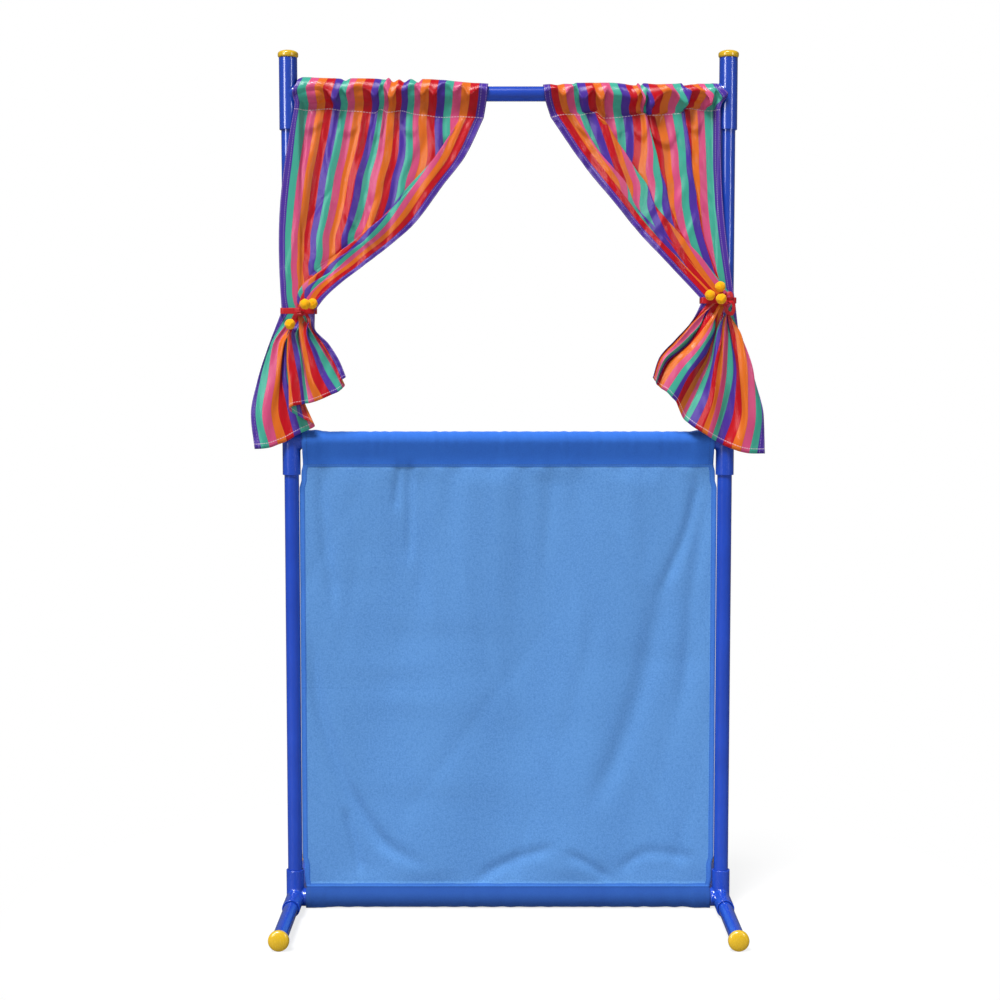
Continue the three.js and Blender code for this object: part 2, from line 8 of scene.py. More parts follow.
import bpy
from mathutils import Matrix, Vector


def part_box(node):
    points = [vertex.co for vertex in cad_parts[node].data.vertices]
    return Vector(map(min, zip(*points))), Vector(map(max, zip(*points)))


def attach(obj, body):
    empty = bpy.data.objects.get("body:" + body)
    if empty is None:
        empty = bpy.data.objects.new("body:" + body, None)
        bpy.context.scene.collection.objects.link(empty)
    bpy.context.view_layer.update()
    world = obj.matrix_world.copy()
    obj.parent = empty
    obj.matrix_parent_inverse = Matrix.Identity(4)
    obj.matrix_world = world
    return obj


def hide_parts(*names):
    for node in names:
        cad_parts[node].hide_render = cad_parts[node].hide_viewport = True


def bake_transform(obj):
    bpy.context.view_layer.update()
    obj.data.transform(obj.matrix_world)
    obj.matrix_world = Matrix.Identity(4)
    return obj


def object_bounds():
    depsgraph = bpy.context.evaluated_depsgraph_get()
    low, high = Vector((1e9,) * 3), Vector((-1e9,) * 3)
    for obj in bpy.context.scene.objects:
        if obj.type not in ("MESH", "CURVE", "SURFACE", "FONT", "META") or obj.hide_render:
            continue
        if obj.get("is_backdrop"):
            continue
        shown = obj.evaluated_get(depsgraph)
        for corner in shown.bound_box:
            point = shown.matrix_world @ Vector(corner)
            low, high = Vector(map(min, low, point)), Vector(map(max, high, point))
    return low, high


bl_info = {
    "name": "Puppet Theatre Stand",
    "version": (1, 0, 0),
    "blender": (4, 5, 0),
    "location": "3D View > Sidebar > Theatre",
    "description": "Dresses a puppet theatre stand in plastic, satin, cloth, ribbon and yarn",
    "category": "Add Mesh",
}

import math

import bmesh
import bpy
import numpy as np
from bpy.props import FloatProperty, FloatVectorProperty, IntProperty, PointerProperty
from mathutils import Vector

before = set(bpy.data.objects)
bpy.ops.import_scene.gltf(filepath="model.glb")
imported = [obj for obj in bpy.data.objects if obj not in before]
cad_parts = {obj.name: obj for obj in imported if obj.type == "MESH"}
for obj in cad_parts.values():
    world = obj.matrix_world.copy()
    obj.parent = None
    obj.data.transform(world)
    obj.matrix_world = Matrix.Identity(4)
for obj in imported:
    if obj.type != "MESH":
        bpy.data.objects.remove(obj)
CAD_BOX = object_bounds()

# Sizes and places that the frame gives

MM = 0.001
SIDES = {"left": -1, "right": 1}


def box(node):
    """A node's lowest and highest corner as arrays."""
    lowest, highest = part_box(node)
    return np.array(lowest), np.array(highest)


def middle(node):
    """The middle of a node's box."""
    return sum(box(node)) / 2


def half_size(node):
    """Half of a node's box along each axis."""
    lowest, highest = box(node)
    return (highest - lowest) / 2


POST_X = float(middle("right_upper_post")[0])
RAIL_Z = float(middle("top_rail")[2])
MIDDLE_Z = float(middle("middle_rail")[2])
FOOT_Z = float(middle("bottom_rail")[2])
TUBE_RADIUS = 10 * MM
TUBE_WALL = 1.5 * MM
BORE_RADIUS = TUBE_RADIUS - TUBE_WALL
SOCKET_RADIUS = 10.3 * MM
FITTING_RADIUS = 12.35 * MM
WEB_RADIUS = 3.4 * MM
CAP_HEIGHT = 10 * MM
CAP_RADIUS = float(half_size("left_top_cap")[0])
TEE_HALF = float(half_size("left_top_tee")[2])
BASE_HALF = float(half_size("left_base_connector")[1])
BRANCH = float(box("left_top_tee")[1][0]) + POST_X
WAIST_Z = {side: float(middle(f"{side}_tie_band")[2]) for side in SIDES}
STITCH_Z = float(box("left_curtain_header")[0][2])
PANEL_HALF = float(half_size("front_panel")[0])
TOP_SEAM_Z = float(box("front_panel")[1][2])
BOTTOM_SEAM_Z = float(box("front_panel")[0][2])

# Curves


def smooth(x):
    """Rises from 0 to 1 as x does, level at both ends."""
    x = np.clip(x, 0, 1)
    return x * x * (3 - 2 * x)


def mix(a, b, share):
    """The value that lies a share of the way from a to b."""
    return a + (b - a) * share


def keyed(x, places, values):
    """A smooth curve through the values at the places: cubic stretches whose slopes never overshoot. Values
    may be rows, and then each of their columns is such a curve."""
    places, values = np.asarray(places, float), np.asarray(values, float)
    gaps = np.diff(places).reshape(-1, *[1] * (values.ndim - 1))
    steps = np.diff(values, axis=0) / gaps
    slopes = np.concatenate([steps[:1], np.zeros_like(values[1:-1]), steps[-1:]])
    product = steps[:-1] * steps[1:]
    total = np.where(product > 0, steps[:-1] + steps[1:], 1)
    slopes[1:-1] = np.where(product > 0, 2 * product / total, 0)
    x = np.clip(x, places[0], places[-1])
    i = np.clip(np.searchsorted(places, x, side="right") - 1, 0, len(places) - 2)
    t = ((x - places[i]) / np.diff(places)[i]).reshape(*np.shape(x), *[1] * (values.ndim - 1))
    start, end = slopes[i] * gaps[i], slopes[i + 1] * gaps[i]
    bend = start * t * (1 - t) ** 2 - end * t * t * (1 - t)
    return mix(values[i], values[i + 1], t * t * (3 - 2 * t)) + bend


def ripple(x, waves, seed, parts=4):
    """An uneven wave about 0: the mean of sines of nearby lengths, each with a seeded start."""
    draw = np.random.default_rng(seed)
    lengths = waves * draw.uniform(0.6, 1.5, parts)
    starts = draw.random(parts)
    x = np.asarray(x)[..., None]
    return np.sin(2 * np.pi * (lengths * x + starts)).mean(-1)


def soft_larger(a, b, rounding):
    """The larger of a and b, rounded off where they cross."""
    return (a + b + np.sqrt((a - b) ** 2 + rounding**2)) / 2


def dents(u, v, count, seed, size_u, size_v, slant=0.0):
    """Seeded soft ridges and valleys scattered over u and v, each 1 high or deep at its middle, and leaning."""
    draw = np.random.default_rng(seed)
    total = np.zeros(np.broadcast(u, v).shape)
    for at_u, at_v, size, lean in zip(
        draw.random(count), draw.random(count), draw.uniform(0.6, 1.4, count), draw.normal(0, 1, count)
    ):
        du = (u - at_u - lean * slant * (v - at_v)) / (size_u * size)
        dv = (v - at_v) / (size_v * size)
        total = total + np.exp(-du * du - dv * dv) * math.copysign(1, lean)
    return total


def around(count):
    """Even angles once round a circle."""
    return np.linspace(0, 2 * np.pi, count, endpoint=False)


def stacked(*parts):
    """Arrays of coordinates, spread over the grid that they share, as its points."""
    return np.stack(np.broadcast_arrays(*parts), -1)


def along_path(points):
    """How far along its path each point lies, and on a grid how far down it each row lies in the mean."""
    steps = np.linalg.norm(np.diff(points, axis=0), axis=-1)
    return np.concatenate([[0], np.cumsum(steps.reshape(len(steps), -1).mean(1))])


def curve_through(points, count):
    """Even points on a smooth curve through a few."""
    points = np.asarray(points, float)
    far = along_path(points)
    return keyed(np.linspace(0, far[-1], count), far, points)


# Meshes

TURNED_POINTS = 72


def grid_faces(rows, columns, wrap_rows=False, wrap_columns=False):
    """The quads of a grid whose points run row by row, closed on itself where it wraps."""
    row = np.arange(rows if wrap_rows else rows - 1)[:, None]
    column = np.arange(columns if wrap_columns else columns - 1)[None, :]
    below, beside = (row + 1) % rows, (column + 1) % columns
    corners = [row * columns + column, row * columns + beside, below * columns + beside, below * columns + column]
    return stacked(*corners).reshape(-1, 4)


def end_faces(rows, columns):
    """The faces that close the first and the last ring of a grid whose rows are rings."""
    return [list(range(columns)), list(range((rows - 1) * columns, rows * columns))]


def rings(points):
    """A grid whose rows are rings, as a list of points and its faces."""
    return points.reshape(-1, 3), grid_faces(*points.shape[:2], wrap_columns=True)


def add_mesh(name, points, faces, uvs=None):
    """A smooth mesh object at the origin from its points and faces; uvs holds a pair for each point."""
    mesh = bpy.data.meshes.new(name)
    faces = faces.tolist() if isinstance(faces, np.ndarray) else faces
    mesh.from_pydata(np.asarray(points, float).reshape(-1, 3).tolist(), [], faces)
    if uvs is not None:
        loops = np.empty(len(mesh.loops), np.int32)
        mesh.loops.foreach_get("vertex_index", loops)
        layer = mesh.uv_layers.new(name="Cloth")
        layer.data.foreach_set("uv", np.asarray(uvs, np.float32).reshape(-1, 2)[loops].ravel())
    piece = bpy.data.objects.new(name, mesh)
    bpy.context.scene.collection.objects.link(piece)
    mesh.shade_smooth()
    return piece


def add_shell(name, points, faces):
    """The mesh object of a closed shell: points that coincide are merged and the faces are turned outwards."""
    piece = add_mesh(name, points, faces)
    shell = bmesh.new()
    shell.from_mesh(piece.data)
    bmesh.ops.remove_doubles(shell, verts=shell.verts, dist=1e-6)
    bmesh.ops.recalc_face_normals(shell, faces=shell.faces)
    shell.to_mesh(piece.data)
    shell.free()
    return piece


def set_smooth(piece, angle=35):
    """Shades smooth across edges that turn by less than the angle, in degrees."""
    piece.data.shade_smooth()
    piece.data.set_sharp_from_angle(angle=math.radians(angle))


def apply_modifiers(piece):
    """Bakes the piece's modifiers into its mesh."""
    bpy.context.view_layer.update()
    graph = bpy.context.evaluated_depsgraph_get()
    baked = bpy.data.meshes.new_from_object(piece.evaluated_get(graph))
    old = piece.data
    piece.modifiers.clear()
    piece.data = baked
    baked.name = piece.name
    bpy.data.meshes.remove(old)


def side_axes(direction):
    """Two unit vectors that stand square to a direction and to each other."""
    direction = np.asarray(direction, float) / np.linalg.norm(direction)
    helper = np.array([0, 0, 1.0]) if abs(direction[2]) < 0.9 else np.array([1.0, 0, 0])
    first = np.cross(helper, direction)
    first /= np.linalg.norm(first)
    return first, np.cross(direction, first)


def turned(profile, start, direction):
    """Points and faces of a turned shape: each pair of the profile, a radius and a distance from start
    along the direction, is carried once round the axis."""
    profile = np.asarray(profile, float)
    direction = np.asarray(direction, float)
    first, second = side_axes(direction)
    angle = around(TURNED_POINTS)
    ring = np.cos(angle)[:, None] * first + np.sin(angle)[:, None] * second
    return rings(profile[:, None, :1] * ring + profile[:, None, 1:] * direction + np.asarray(start))


def rounded_corner(radius, height, size):
    """Pairs along a quarter circle of that size which rounds a rim's corner at the radius and height."""
    turn = np.linspace(0, np.pi / 2, 5)
    return [(radius - size * (1 - o), height - size * (1 - u)) for o, u in zip(np.cos(turn), np.sin(turn))]


def finish_piece(piece, material, replaces, body="stand"):
    """Gives the piece its finish and its material slot, lets it stand for its nodes, and lets it ride on its
    body if it has one."""
    piece.data.materials.clear()
    piece.data.materials.append(material)
    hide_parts(*replaces)
    if body:
        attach(piece, body)


# Material parts


def new_group(name, inputs, outputs):
    """A shader node group; inputs are (name, socket type, default) and outputs are (name, socket type)."""
    group = bpy.data.node_groups.new(name, "ShaderNodeTree")
    for label, kind, default in inputs:
        socket = group.interface.new_socket(label, in_out="INPUT", socket_type=f"NodeSocket{kind}")
        if default is not None:
            socket.default_value = default
    for label, kind in outputs:
        group.interface.new_socket(label, in_out="OUTPUT", socket_type=f"NodeSocket{kind}")
    return group, group.nodes.new("NodeGroupInput"), group.nodes.new("NodeGroupOutput")


class Graph:
    """Places nodes in a tree: each method adds a node, wires its inputs and returns an output socket."""

    def __init__(self, tree):
        self.tree = tree

    def node(self, kind, **settings):
        """A node of that kind with its settings."""
        made = self.tree.nodes.new(kind)
        for name, value in settings.items():
            setattr(made, name, value)
        return made

    def feed(self, socket, value):
        """Links a socket or sets a constant."""
        if isinstance(value, bpy.types.NodeSocket):
            self.tree.links.new(value, socket)
        else:
            socket.default_value = value

    def math(self, operation, *values):
        """A Math node."""
        made = self.node("ShaderNodeMath", operation=operation)
        for socket, value in zip(made.inputs, values):
            self.feed(socket, value)
        return made.outputs[0]

    def largest(self, first, *others):
        """The largest of several values."""
        for other in others:
            first = self.math("MAXIMUM", first, other)
        return first

    def off_middle(self, value, middle):
        """How far a value lies from a middle one, to either side."""
        return self.math("ABSOLUTE", self.math("SUBTRACT", value, middle))

    def noise(self, vector, scale, detail=3.0, roughness=0.5):
        """A noise texture's value."""
        made = self.node("ShaderNodeTexNoise")
        for name, value in (("Vector", vector), ("Scale", scale), ("Detail", detail), ("Roughness", roughness)):
            self.feed(made.inputs[name], value)
        return made.outputs[0]

    def first_two(self, vector):
        """The first two parts of a vector."""
        made = self.node("ShaderNodeSeparateXYZ")
        self.feed(made.inputs[0], vector)
        return made.outputs[:2]

    def stretch(self, vector, scale, turn=(0, 0, 0)):
        """The vector scaled along each axis and turned."""
        made = self.node("ShaderNodeMapping")
        self.feed(made.inputs["Vector"], vector)
        made.inputs["Scale"].default_value = scale
        made.inputs["Rotation"].default_value = turn
        return made.outputs[0]

    def span(self, value, low, high, new_low=0.0, new_high=1.0):
        """The value carried from one range to another."""
        made = self.node("ShaderNodeMapRange")
        for socket, item in zip(made.inputs, (value, low, high, new_low, new_high)):
            self.feed(socket, item)
        return made.outputs[0]

    def blend(self, share, first, second, how="MIX"):
        """Two colours mixed by a share."""
        made = self.node("ShaderNodeMix", data_type="RGBA", blend_type=how)
        self.feed(made.inputs["Factor"], share)
        self.feed(made.inputs[6], first)
        self.feed(made.inputs[7], second)
        return made.outputs[2]

    def tinted(self, colour, tint):
        """A colour times a tint."""
        return self.blend(1.0, colour, (*tint, 1), "MULTIPLY")

    def group(self, tree, **values):
        """A node group with its inputs, whose names have _ for a space."""
        made = self.node("ShaderNodeGroup", node_tree=tree)
        for name, value in values.items():
            self.feed(made.inputs[name.replace("_", " ")], value)
        return made

    def bump(self, height, strength, distance):
        """The normal that a height gives."""
        made = self.node("ShaderNodeBump")
        made.inputs["Strength"].default_value = strength
        made.inputs["Distance"].default_value = distance
        self.feed(made.inputs["Height"], height)
        return made.outputs[0]

    def object_place(self):
        """Object coordinates."""
        return self.node("ShaderNodeTexCoord").outputs["Object"]

    def cloth_place(self):
        """The piece's own cloth coordinates in metres."""
        return self.node("ShaderNodeUVMap", uv_map="Cloth").outputs[0]


def linear(colour):
    """A screen colour as the linear one that a shader takes."""
    return tuple(c / 12.92 if c <= 0.04045 else ((c + 0.055) / 1.055) ** 2.4 for c in colour) + (1.0,)


def screen(red, green, blue):
    """Screen levels from 0 to 255 as a linear colour."""
    return linear((red / 255, green / 255, blue / 255))


def new_material(name, **constants):
    """A material with its Principled shader, whose constant sockets are set here."""
    material = bpy.data.materials.new(name)
    material.use_nodes = True
    shader = material.node_tree.nodes["Principled BSDF"]
    for label, value in constants.items():
        shader.inputs[label.replace("_", " ")].default_value = value
    return material, Graph(material.node_tree), shader.inputs


def moulded_group():
    """Moulded plastic: faint flow marks in the colour, fine scuffs in the roughness and a soft uneven height."""
    group, given, out = new_group(
        "moulded_plastic",
        [("Colour", "Color", None), ("Place", "Vector", None), ("Roughness", "Float", 0.3), ("Scuffs", "Float", 0.1)],
        [("Colour", "Color"), ("Roughness", "Float"), ("Height", "Float")],
    )
    g = Graph(group)
    colour, place, rough, scuffs = given.outputs[:4]
    flow = g.noise(place, 18.0, 3.0)
    fine = g.noise(g.stretch(place, (1, 1, 0.15)), 900.0, 4.0, 0.6)
    g.feed(out.inputs[0], g.blend(g.span(flow, 0.35, 0.7), colour, g.tinted(colour, (0.86, 0.86, 0.88))))
    worn = g.math("MULTIPLY", g.span(fine, 0.45, 0.75), scuffs)
    g.feed(out.inputs[1], g.math("ADD", rough, worn))
    g.feed(out.inputs[2], g.math("ADD", g.noise(place, 60.0, 2.0), g.math("MULTIPLY", fine, 0.15)))
    return group


def weave_group():
    """Plain weave: two crossed sets of rounded threads that pass over and under, as a height."""
    group, given, out = new_group(
        "plain_weave",
        [("Place", "Vector", None), ("Threads", "Float", 1500.0), ("Warp", "Float", 1.0), ("Slubs", "Float", 0.3)],
        [("Height", "Float")],
    )
    g = Graph(group)
    place, threads, warp, slubs = given.outputs[:4]
    x, y = g.first_two(place)
    across = g.math("SINE", g.math("MULTIPLY", g.math("MULTIPLY", x, threads), math.pi))
    along = g.math("SINE", g.math("MULTIPLY", g.math("MULTIPLY", g.math("MULTIPLY", y, threads), warp), math.pi))
    over = g.math("MULTIPLY", across, along)
    rounds = g.math("ADD", g.math("ABSOLUTE", across), g.math("ABSOLUTE", along))
    uneven = g.math("MULTIPLY", g.noise(g.stretch(place, (1, 0.1, 1)), 2500.0, 2.0), slubs)
    g.feed(out.inputs[0], g.math("ADD", g.math("MULTIPLY_ADD", over, 0.5, rounds), uneven))
    return group


def stitch_group():
    """A row of stitches beside a line: 1 on a thread, where the distance from the line is small and the
    place along it is within a stitch."""
    group, given, out = new_group(
        "stitch_row",
        [
            ("Distance", "Float", 0.0), ("Along", "Float", 0.0), ("Stitch", "Float", 0.003),
            ("Thread", "Float", 0.0005),
        ],
        [("Mask", "Float")],
    )
    g = Graph(group)
    distance, along, stitch, thread = given.outputs[:4]
    near = g.span(g.math("DIVIDE", g.math("ABSOLUTE", distance), thread), 0.7, 1.2, 1.0, 0.0)
    beat = g.off_middle(g.math("FRACT", g.math("DIVIDE", along, stitch)), 0.5)
    g.feed(out.inputs[0], g.math("MULTIPLY", near, g.span(beat, 0.30, 0.42, 1.0, 0.0)))
    return group


GROUPS = {}


def shared(name):
    """A shared node group, made on first use."""
    makers = {"moulded": moulded_group, "weave": weave_group, "stitches": stitch_group}
    if name not in GROUPS:
        GROUPS[name] = makers[name]()
    return GROUPS[name]


def stitch_rows(g, rows):
    """The mask of each row of stitches. A row is a place, its value on the line, the place along the line, and
    a stitch's length and its thread's width."""
    return [
        g.group(
            shared("stitches"), Distance=g.math("SUBTRACT", place, line), Along=along, Stitch=stitch, Thread=thread,
        ).outputs[0]
        for place, line, along, stitch, thread in rows
    ]


def plastic_material(name, colour, roughness, scuffs, bump, coat):
    """Glossy moulded or drawn plastic."""
    material, g, sockets = new_material(name, Coat_Weight=coat, Coat_Roughness=0.12, IOR=1.5)
    made = g.group(
        shared("moulded"), Colour=linear(colour), Place=g.object_place(), Roughness=roughness, Scuffs=scuffs)
    g.feed(sockets["Base Color"], made.outputs["Colour"])
    g.feed(sockets["Roughness"], made.outputs["Roughness"])
    g.feed(sockets["Normal"], g.bump(made.outputs["Height"], bump, 0.0004))
    return material


# Sizes and colours a user would change


class PlasticFinish(bpy.types.PropertyGroup):
    """Colours and gloss of the frame's plastic."""

    tube: FloatVectorProperty(
        name="Tube", description="Colour of the tubes and fittings", subtype="COLOR_GAMMA", min=0, max=1,
        default=(0.1, 0.28, 0.74),
    )
    cap: FloatVectorProperty(
        name="Caps", description="Colour of the end caps", subtype="COLOR_GAMMA", min=0, max=1,
        default=(0.88, 0.71, 0.1),
    )
    gloss: FloatProperty(
        name="Roughness", description="Roughness of the tubes' surface", default=0.2, min=0.05, max=0.9,
        subtype="FACTOR",
    )
    rim: FloatProperty(
        name="Rim rounding", description="Radius that rounds each moulded rim", default=0.0006, min=0.0001, max=0.001,
        unit="LENGTH", precision=4,
    )


class CurtainCloth(bpy.types.PropertyGroup):
    """The striped satin of the curtains."""

    stripe: FloatProperty(
        name="Stripe", description="Width of one stripe", default=0.0116, min=0.004, max=0.04, unit="LENGTH",
        precision=4,
    )
    stripes: IntProperty(name="Stripes", description="Stripes across one curtain", default=26, min=6, max=60)
    thickness: FloatProperty(
        name="Thickness", description="Thickness of the satin", default=0.0004, min=0.0001, max=0.001, unit="LENGTH",
        precision=4,
    )
    creases: FloatProperty(
        name="Creases", description="How deep the small creases are", default=1.0, min=0, max=3, subtype="FACTOR",
    )


class PanelCloth(bpy.types.PropertyGroup):
    """The plain cloth of the front panel."""

    colour: FloatVectorProperty(
        name="Panel", description="Colour of the single cloth", subtype="COLOR_GAMMA", min=0, max=1,
        default=(0.335, 0.547, 0.79),
    )
    pocket: FloatVectorProperty(
        name="Pockets", description="Colour where the cloth is doubled", subtype="COLOR_GAMMA", min=0, max=1,
        default=(0.19, 0.43, 0.81),
    )
    hem: FloatProperty(
        name="Side hem", description="Width of the side hems", default=0.0075, min=0.002, max=0.02, unit="LENGTH",
        precision=4,
    )


class TieFinish(bpy.types.PropertyGroup):
    """Ribbons and pompoms of the ties."""

    ribbon: FloatVectorProperty(
        name="Ribbon", description="Colour of the ribbon", subtype="COLOR_GAMMA", min=0, max=1,
        default=(0.76, 0.04, 0.1),
    )
    yarn: FloatVectorProperty(
        name="Yarn", description="Colour of the pompoms", subtype="COLOR_GAMMA", min=0, max=1,
        default=(0.98, 0.73, 0.06),
    )


class StageSettings(bpy.types.PropertyGroup):
    """The studio round the stand."""

    lamp: FloatProperty(
        name="Lamps", description="Strength of the lamps as a share", default=1.0, min=0.1, max=4, subtype="FACTOR",
    )


# Tubes, fittings and caps


def tube_arrays(node):
    """A straight tube as long as its node's box: outer wall, rounded ends and bore in one closed profile."""
    lowest, highest = box(node)
    axis = int(np.argmax(highest - lowest))
    start = (lowest + highest) / 2
    start[axis] = lowest[axis]
    length = float(highest[axis] - lowest[axis])
    direction = np.eye(3)[axis]
    edge = 0.3 * MM
    bore = BORE_RADIUS
    profile = [
        (bore, edge), (bore + edge, 0), (TUBE_RADIUS - edge, 0), (TUBE_RADIUS, edge),
        (TUBE_RADIUS, length - edge), (TUBE_RADIUS - edge, length), (bore + edge, length), (bore, length - edge),
        (bore, edge),
    ]
    return turned(profile, start, direction)


def arm_outside(direction, reach, through, rim):
    """The outside of a fitting's arm with a rounded rim; a through arm reaches as far on its other side."""
    end = [(FITTING_RADIUS, reach - 6 * rim)] + rounded_corner(FITTING_RADIUS, reach, rim) + [(0, reach)]
    end = list(dict.fromkeys(end))
    start = [(r, -h) for r, h in reversed(end)] if through else [(0, 0), (FITTING_RADIUS, 0)]
    return turned(start + end, (0, 0, 0), direction)


def arm_bore(direction, reach, through, rim):
    """The socket for a tube with its stop, its mouth eased, and the narrower passage behind it."""
    mouth = [
        (BORE_RADIUS, FITTING_RADIUS), (SOCKET_RADIUS, FITTING_RADIUS), (SOCKET_RADIUS, reach - rim),
        (SOCKET_RADIUS + rim, reach), (SOCKET_RADIUS + rim, reach + MM), (0, reach + MM),
    ]
    start = [(r, -h) for r, h in reversed(mouth)] if through else [(0, 0), (BORE_RADIUS, 0)]
    return turned(start + mouth, (0, 0, 0), direction)


def crotch(first, second):
    """The rounded web between two square arms: a concave quarter circle carried along the curve where
    their surfaces meet, thinner towards its two ends, and closed by a sheet inside the arms."""
    first, second = np.asarray(first, float), np.asarray(second, float)
    across = np.cross(first, second)
    sweep = np.linspace(-0.47, 0.47, 33)[:, None] * np.pi
    corner = FITTING_RADIUS * np.cos(sweep)
    size = WEB_RADIUS * np.cos(sweep)
    turn = np.linspace(0, np.pi / 2, 9)[None, :]
    centre = corner + size * 0.985
    inside = corner * 0.5 + 0 * turn
    along_first = np.concatenate([centre - size * np.sin(turn), inside], 1)
    along_second = np.concatenate([centre - size * np.cos(turn), inside], 1)
    points = (
        along_first[..., None] * first
        + along_second[..., None] * second
        + (FITTING_RADIUS * np.sin(sweep) + 0 * along_first)[..., None] * across
    )
    points, faces = rings(points)
    return points, faces.tolist() + end_faces(*along_first.shape)


def joined(name, adds, cuts):
    """One mesh from arrays of points and faces: the adds united and the cuts taken away."""
    body = add_shell(name, *adds[0])
    tools = []
    for how, arrays in [("UNION", a) for a in adds[1:]] + [("DIFFERENCE", c) for c in cuts]:
        tool = add_shell(f"{name}_tool", *arrays)
        tool.hide_render = True
        change = body.modifiers.new(how, "BOOLEAN")
        change.operation, change.object, change.solver = how, tool, "EXACT"
        tools.append(tool)
    apply_modifiers(body)
    points = np.empty(len(body.data.vertices) * 3, np.float32)
    body.data.vertices.foreach_get("co", points)
    faces = [list(face.vertices) for face in body.data.polygons]
    for piece in (*tools, body):
        mesh = piece.data
        bpy.data.objects.remove(piece)
        bpy.data.meshes.remove(mesh)
    return points.reshape(-1, 3), faces


def fitting_arrays(arms, rim):
    """A pipe fitting about its centre: its arms, the webs in each corner between them, and its sockets."""
    adds = [arm_outside(*arm, rim) for arm in arms]
    for index, (first, _, through) in enumerate(arms):
        for second, _, _ in arms[index + 1:]:
            adds.append(crotch(first, second))
            if through:
                adds.append(crotch(second, [-x for x in first]))
    return joined("fitting", adds, [arm_bore(*arm, rim) for arm in arms])


def cap_arrays(seat, direction, hole_radius):
    """A press-in cap: a hollow plug below its seat and a domed head with a rounded under edge."""
    plug = hole_radius - 0.3 * MM
    wall, length, under, inset = 1.8 * MM, 14 * MM, 2.4 * MM, 2 * MM
    band_top = 4.8 * MM
    turn = np.linspace(0, np.pi / 2, 15)
    dome = [(CAP_RADIUS * math.cos(t), band_top + (CAP_HEIGHT - band_top) * math.sin(t)) for t in turn]
    curl = [(CAP_RADIUS - inset + inset * math.sin(t), under - under * math.cos(t)) for t in turn[::2]]
    profile = [
        (0, 0), (plug - wall, 0), (plug - wall, -length), (plug - 0.5 * MM, -length), (plug, -length + 0.5 * MM),
        (plug, 0), *curl, *dome,
    ]
    profile[-1] = (0, CAP_HEIGHT)
    return turned(profile, seat, direction)


def build_frame_piece(node, arrays, material):
    """A rigid piece that stands for its node."""
    piece = add_shell(f"{node}_detail", *arrays)
    set_smooth(piece)
    piece.modifiers.new("even_shading", "WEIGHTED_NORMAL").keep_sharp = True
    apply_modifiers(piece)
    finish_piece(piece, material, [node])


class THEATRE_OT_tubes(bpy.types.Operator):
    """Builds the posts, rails and foot tubes as drawn plastic tube"""

    bl_idname = "theatre.tubes"
    bl_label = "Tubes"

    def execute(self, context):
        finish = context.scene.theatre_plastic
        material = plastic_material(
            "blue_tube", finish.tube, finish.gloss, scuffs=0.06, bump=0.05, coat=0.8)
        nodes = [f"{side}_{part}" for side in SIDES for part in (
            "upper_post", "lower_post", "front_foot_tube", "rear_foot_tube")]
        for node in nodes + ["top_rail", "middle_rail", "bottom_rail"]:
            build_frame_piece(node, tube_arrays(node), material)
        return {"FINISHED"}


class THEATRE_OT_fittings(bpy.types.Operator):
    """Builds the moulded tees and base connectors with their webs, stops and sockets"""

    bl_idname = "theatre.fittings"
    bl_label = "Fittings"

    def execute(self, context):
        finish = context.scene.theatre_plastic
        material = plastic_material(
            "blue_fitting", finish.tube, finish.gloss + 0.04, scuffs=0.06, bump=0.12, coat=0.8)
        up, inward, forward = (0, 0, 1), (1, 0, 0), (0, -1, 0)
        tee = fitting_arrays([(up, TEE_HALF, True), (inward, BRANCH, False)], finish.rim)
        base = fitting_arrays(
            [(forward, BASE_HALF, True), (up, BRANCH, False), (inward, BRANCH, False)], finish.rim)
        for side, sign in SIDES.items():
            for node, height, (points, faces) in (
                (f"{side}_top_tee", RAIL_Z, tee), (f"{side}_middle_tee", MIDDLE_Z, tee),
                (f"{side}_base_connector", FOOT_Z, base),
            ):
                placed = points * [-sign, 1, 1] + [sign * POST_X, 0, height]
                build_frame_piece(node, (placed, faces), material)
        return {"FINISHED"}


class THEATRE_OT_caps(bpy.types.Operator):
    """Builds the domed end caps of the posts and feet"""

    bl_idname = "theatre.caps"
    bl_label = "Caps"

    def execute(self, context):
        finish = context.scene.theatre_plastic
        material = plastic_material("yellow_cap", finish.cap, 0.25, scuffs=0.06, bump=0.1, coat=0.6)
        for side, sign in SIDES.items():
            x = sign * POST_X
            top = float(box(f"{side}_top_cap")[1][2]) - CAP_HEIGHT
            foot = float(box(f"{side}_rear_foot_cap")[1][1]) - CAP_HEIGHT
            for node, seat, direction, hole in (
                (f"{side}_top_cap", (x, 0, top), (0, 0, 1), SOCKET_RADIUS),
                (f"{side}_front_foot_cap", (x, -foot, FOOT_Z), (0, -1, 0), BORE_RADIUS),
                (f"{side}_rear_foot_cap", (x, foot, FOOT_Z), (0, 1, 0), BORE_RADIUS),
            ):
                build_frame_piece(node, cap_arrays(seat, direction, hole), material)
        return {"FINISHED"}


# Curtains. Down the cloth, w is 0 at the stitch line and 1 at the waist, and s is 0 at the waist and 1 at the
# hem; across it, u is 0 at the post's side and 1 at the free edge, and k counts the stripes from the post's
# side. Lengths here are in millimetres, where they have no MM.

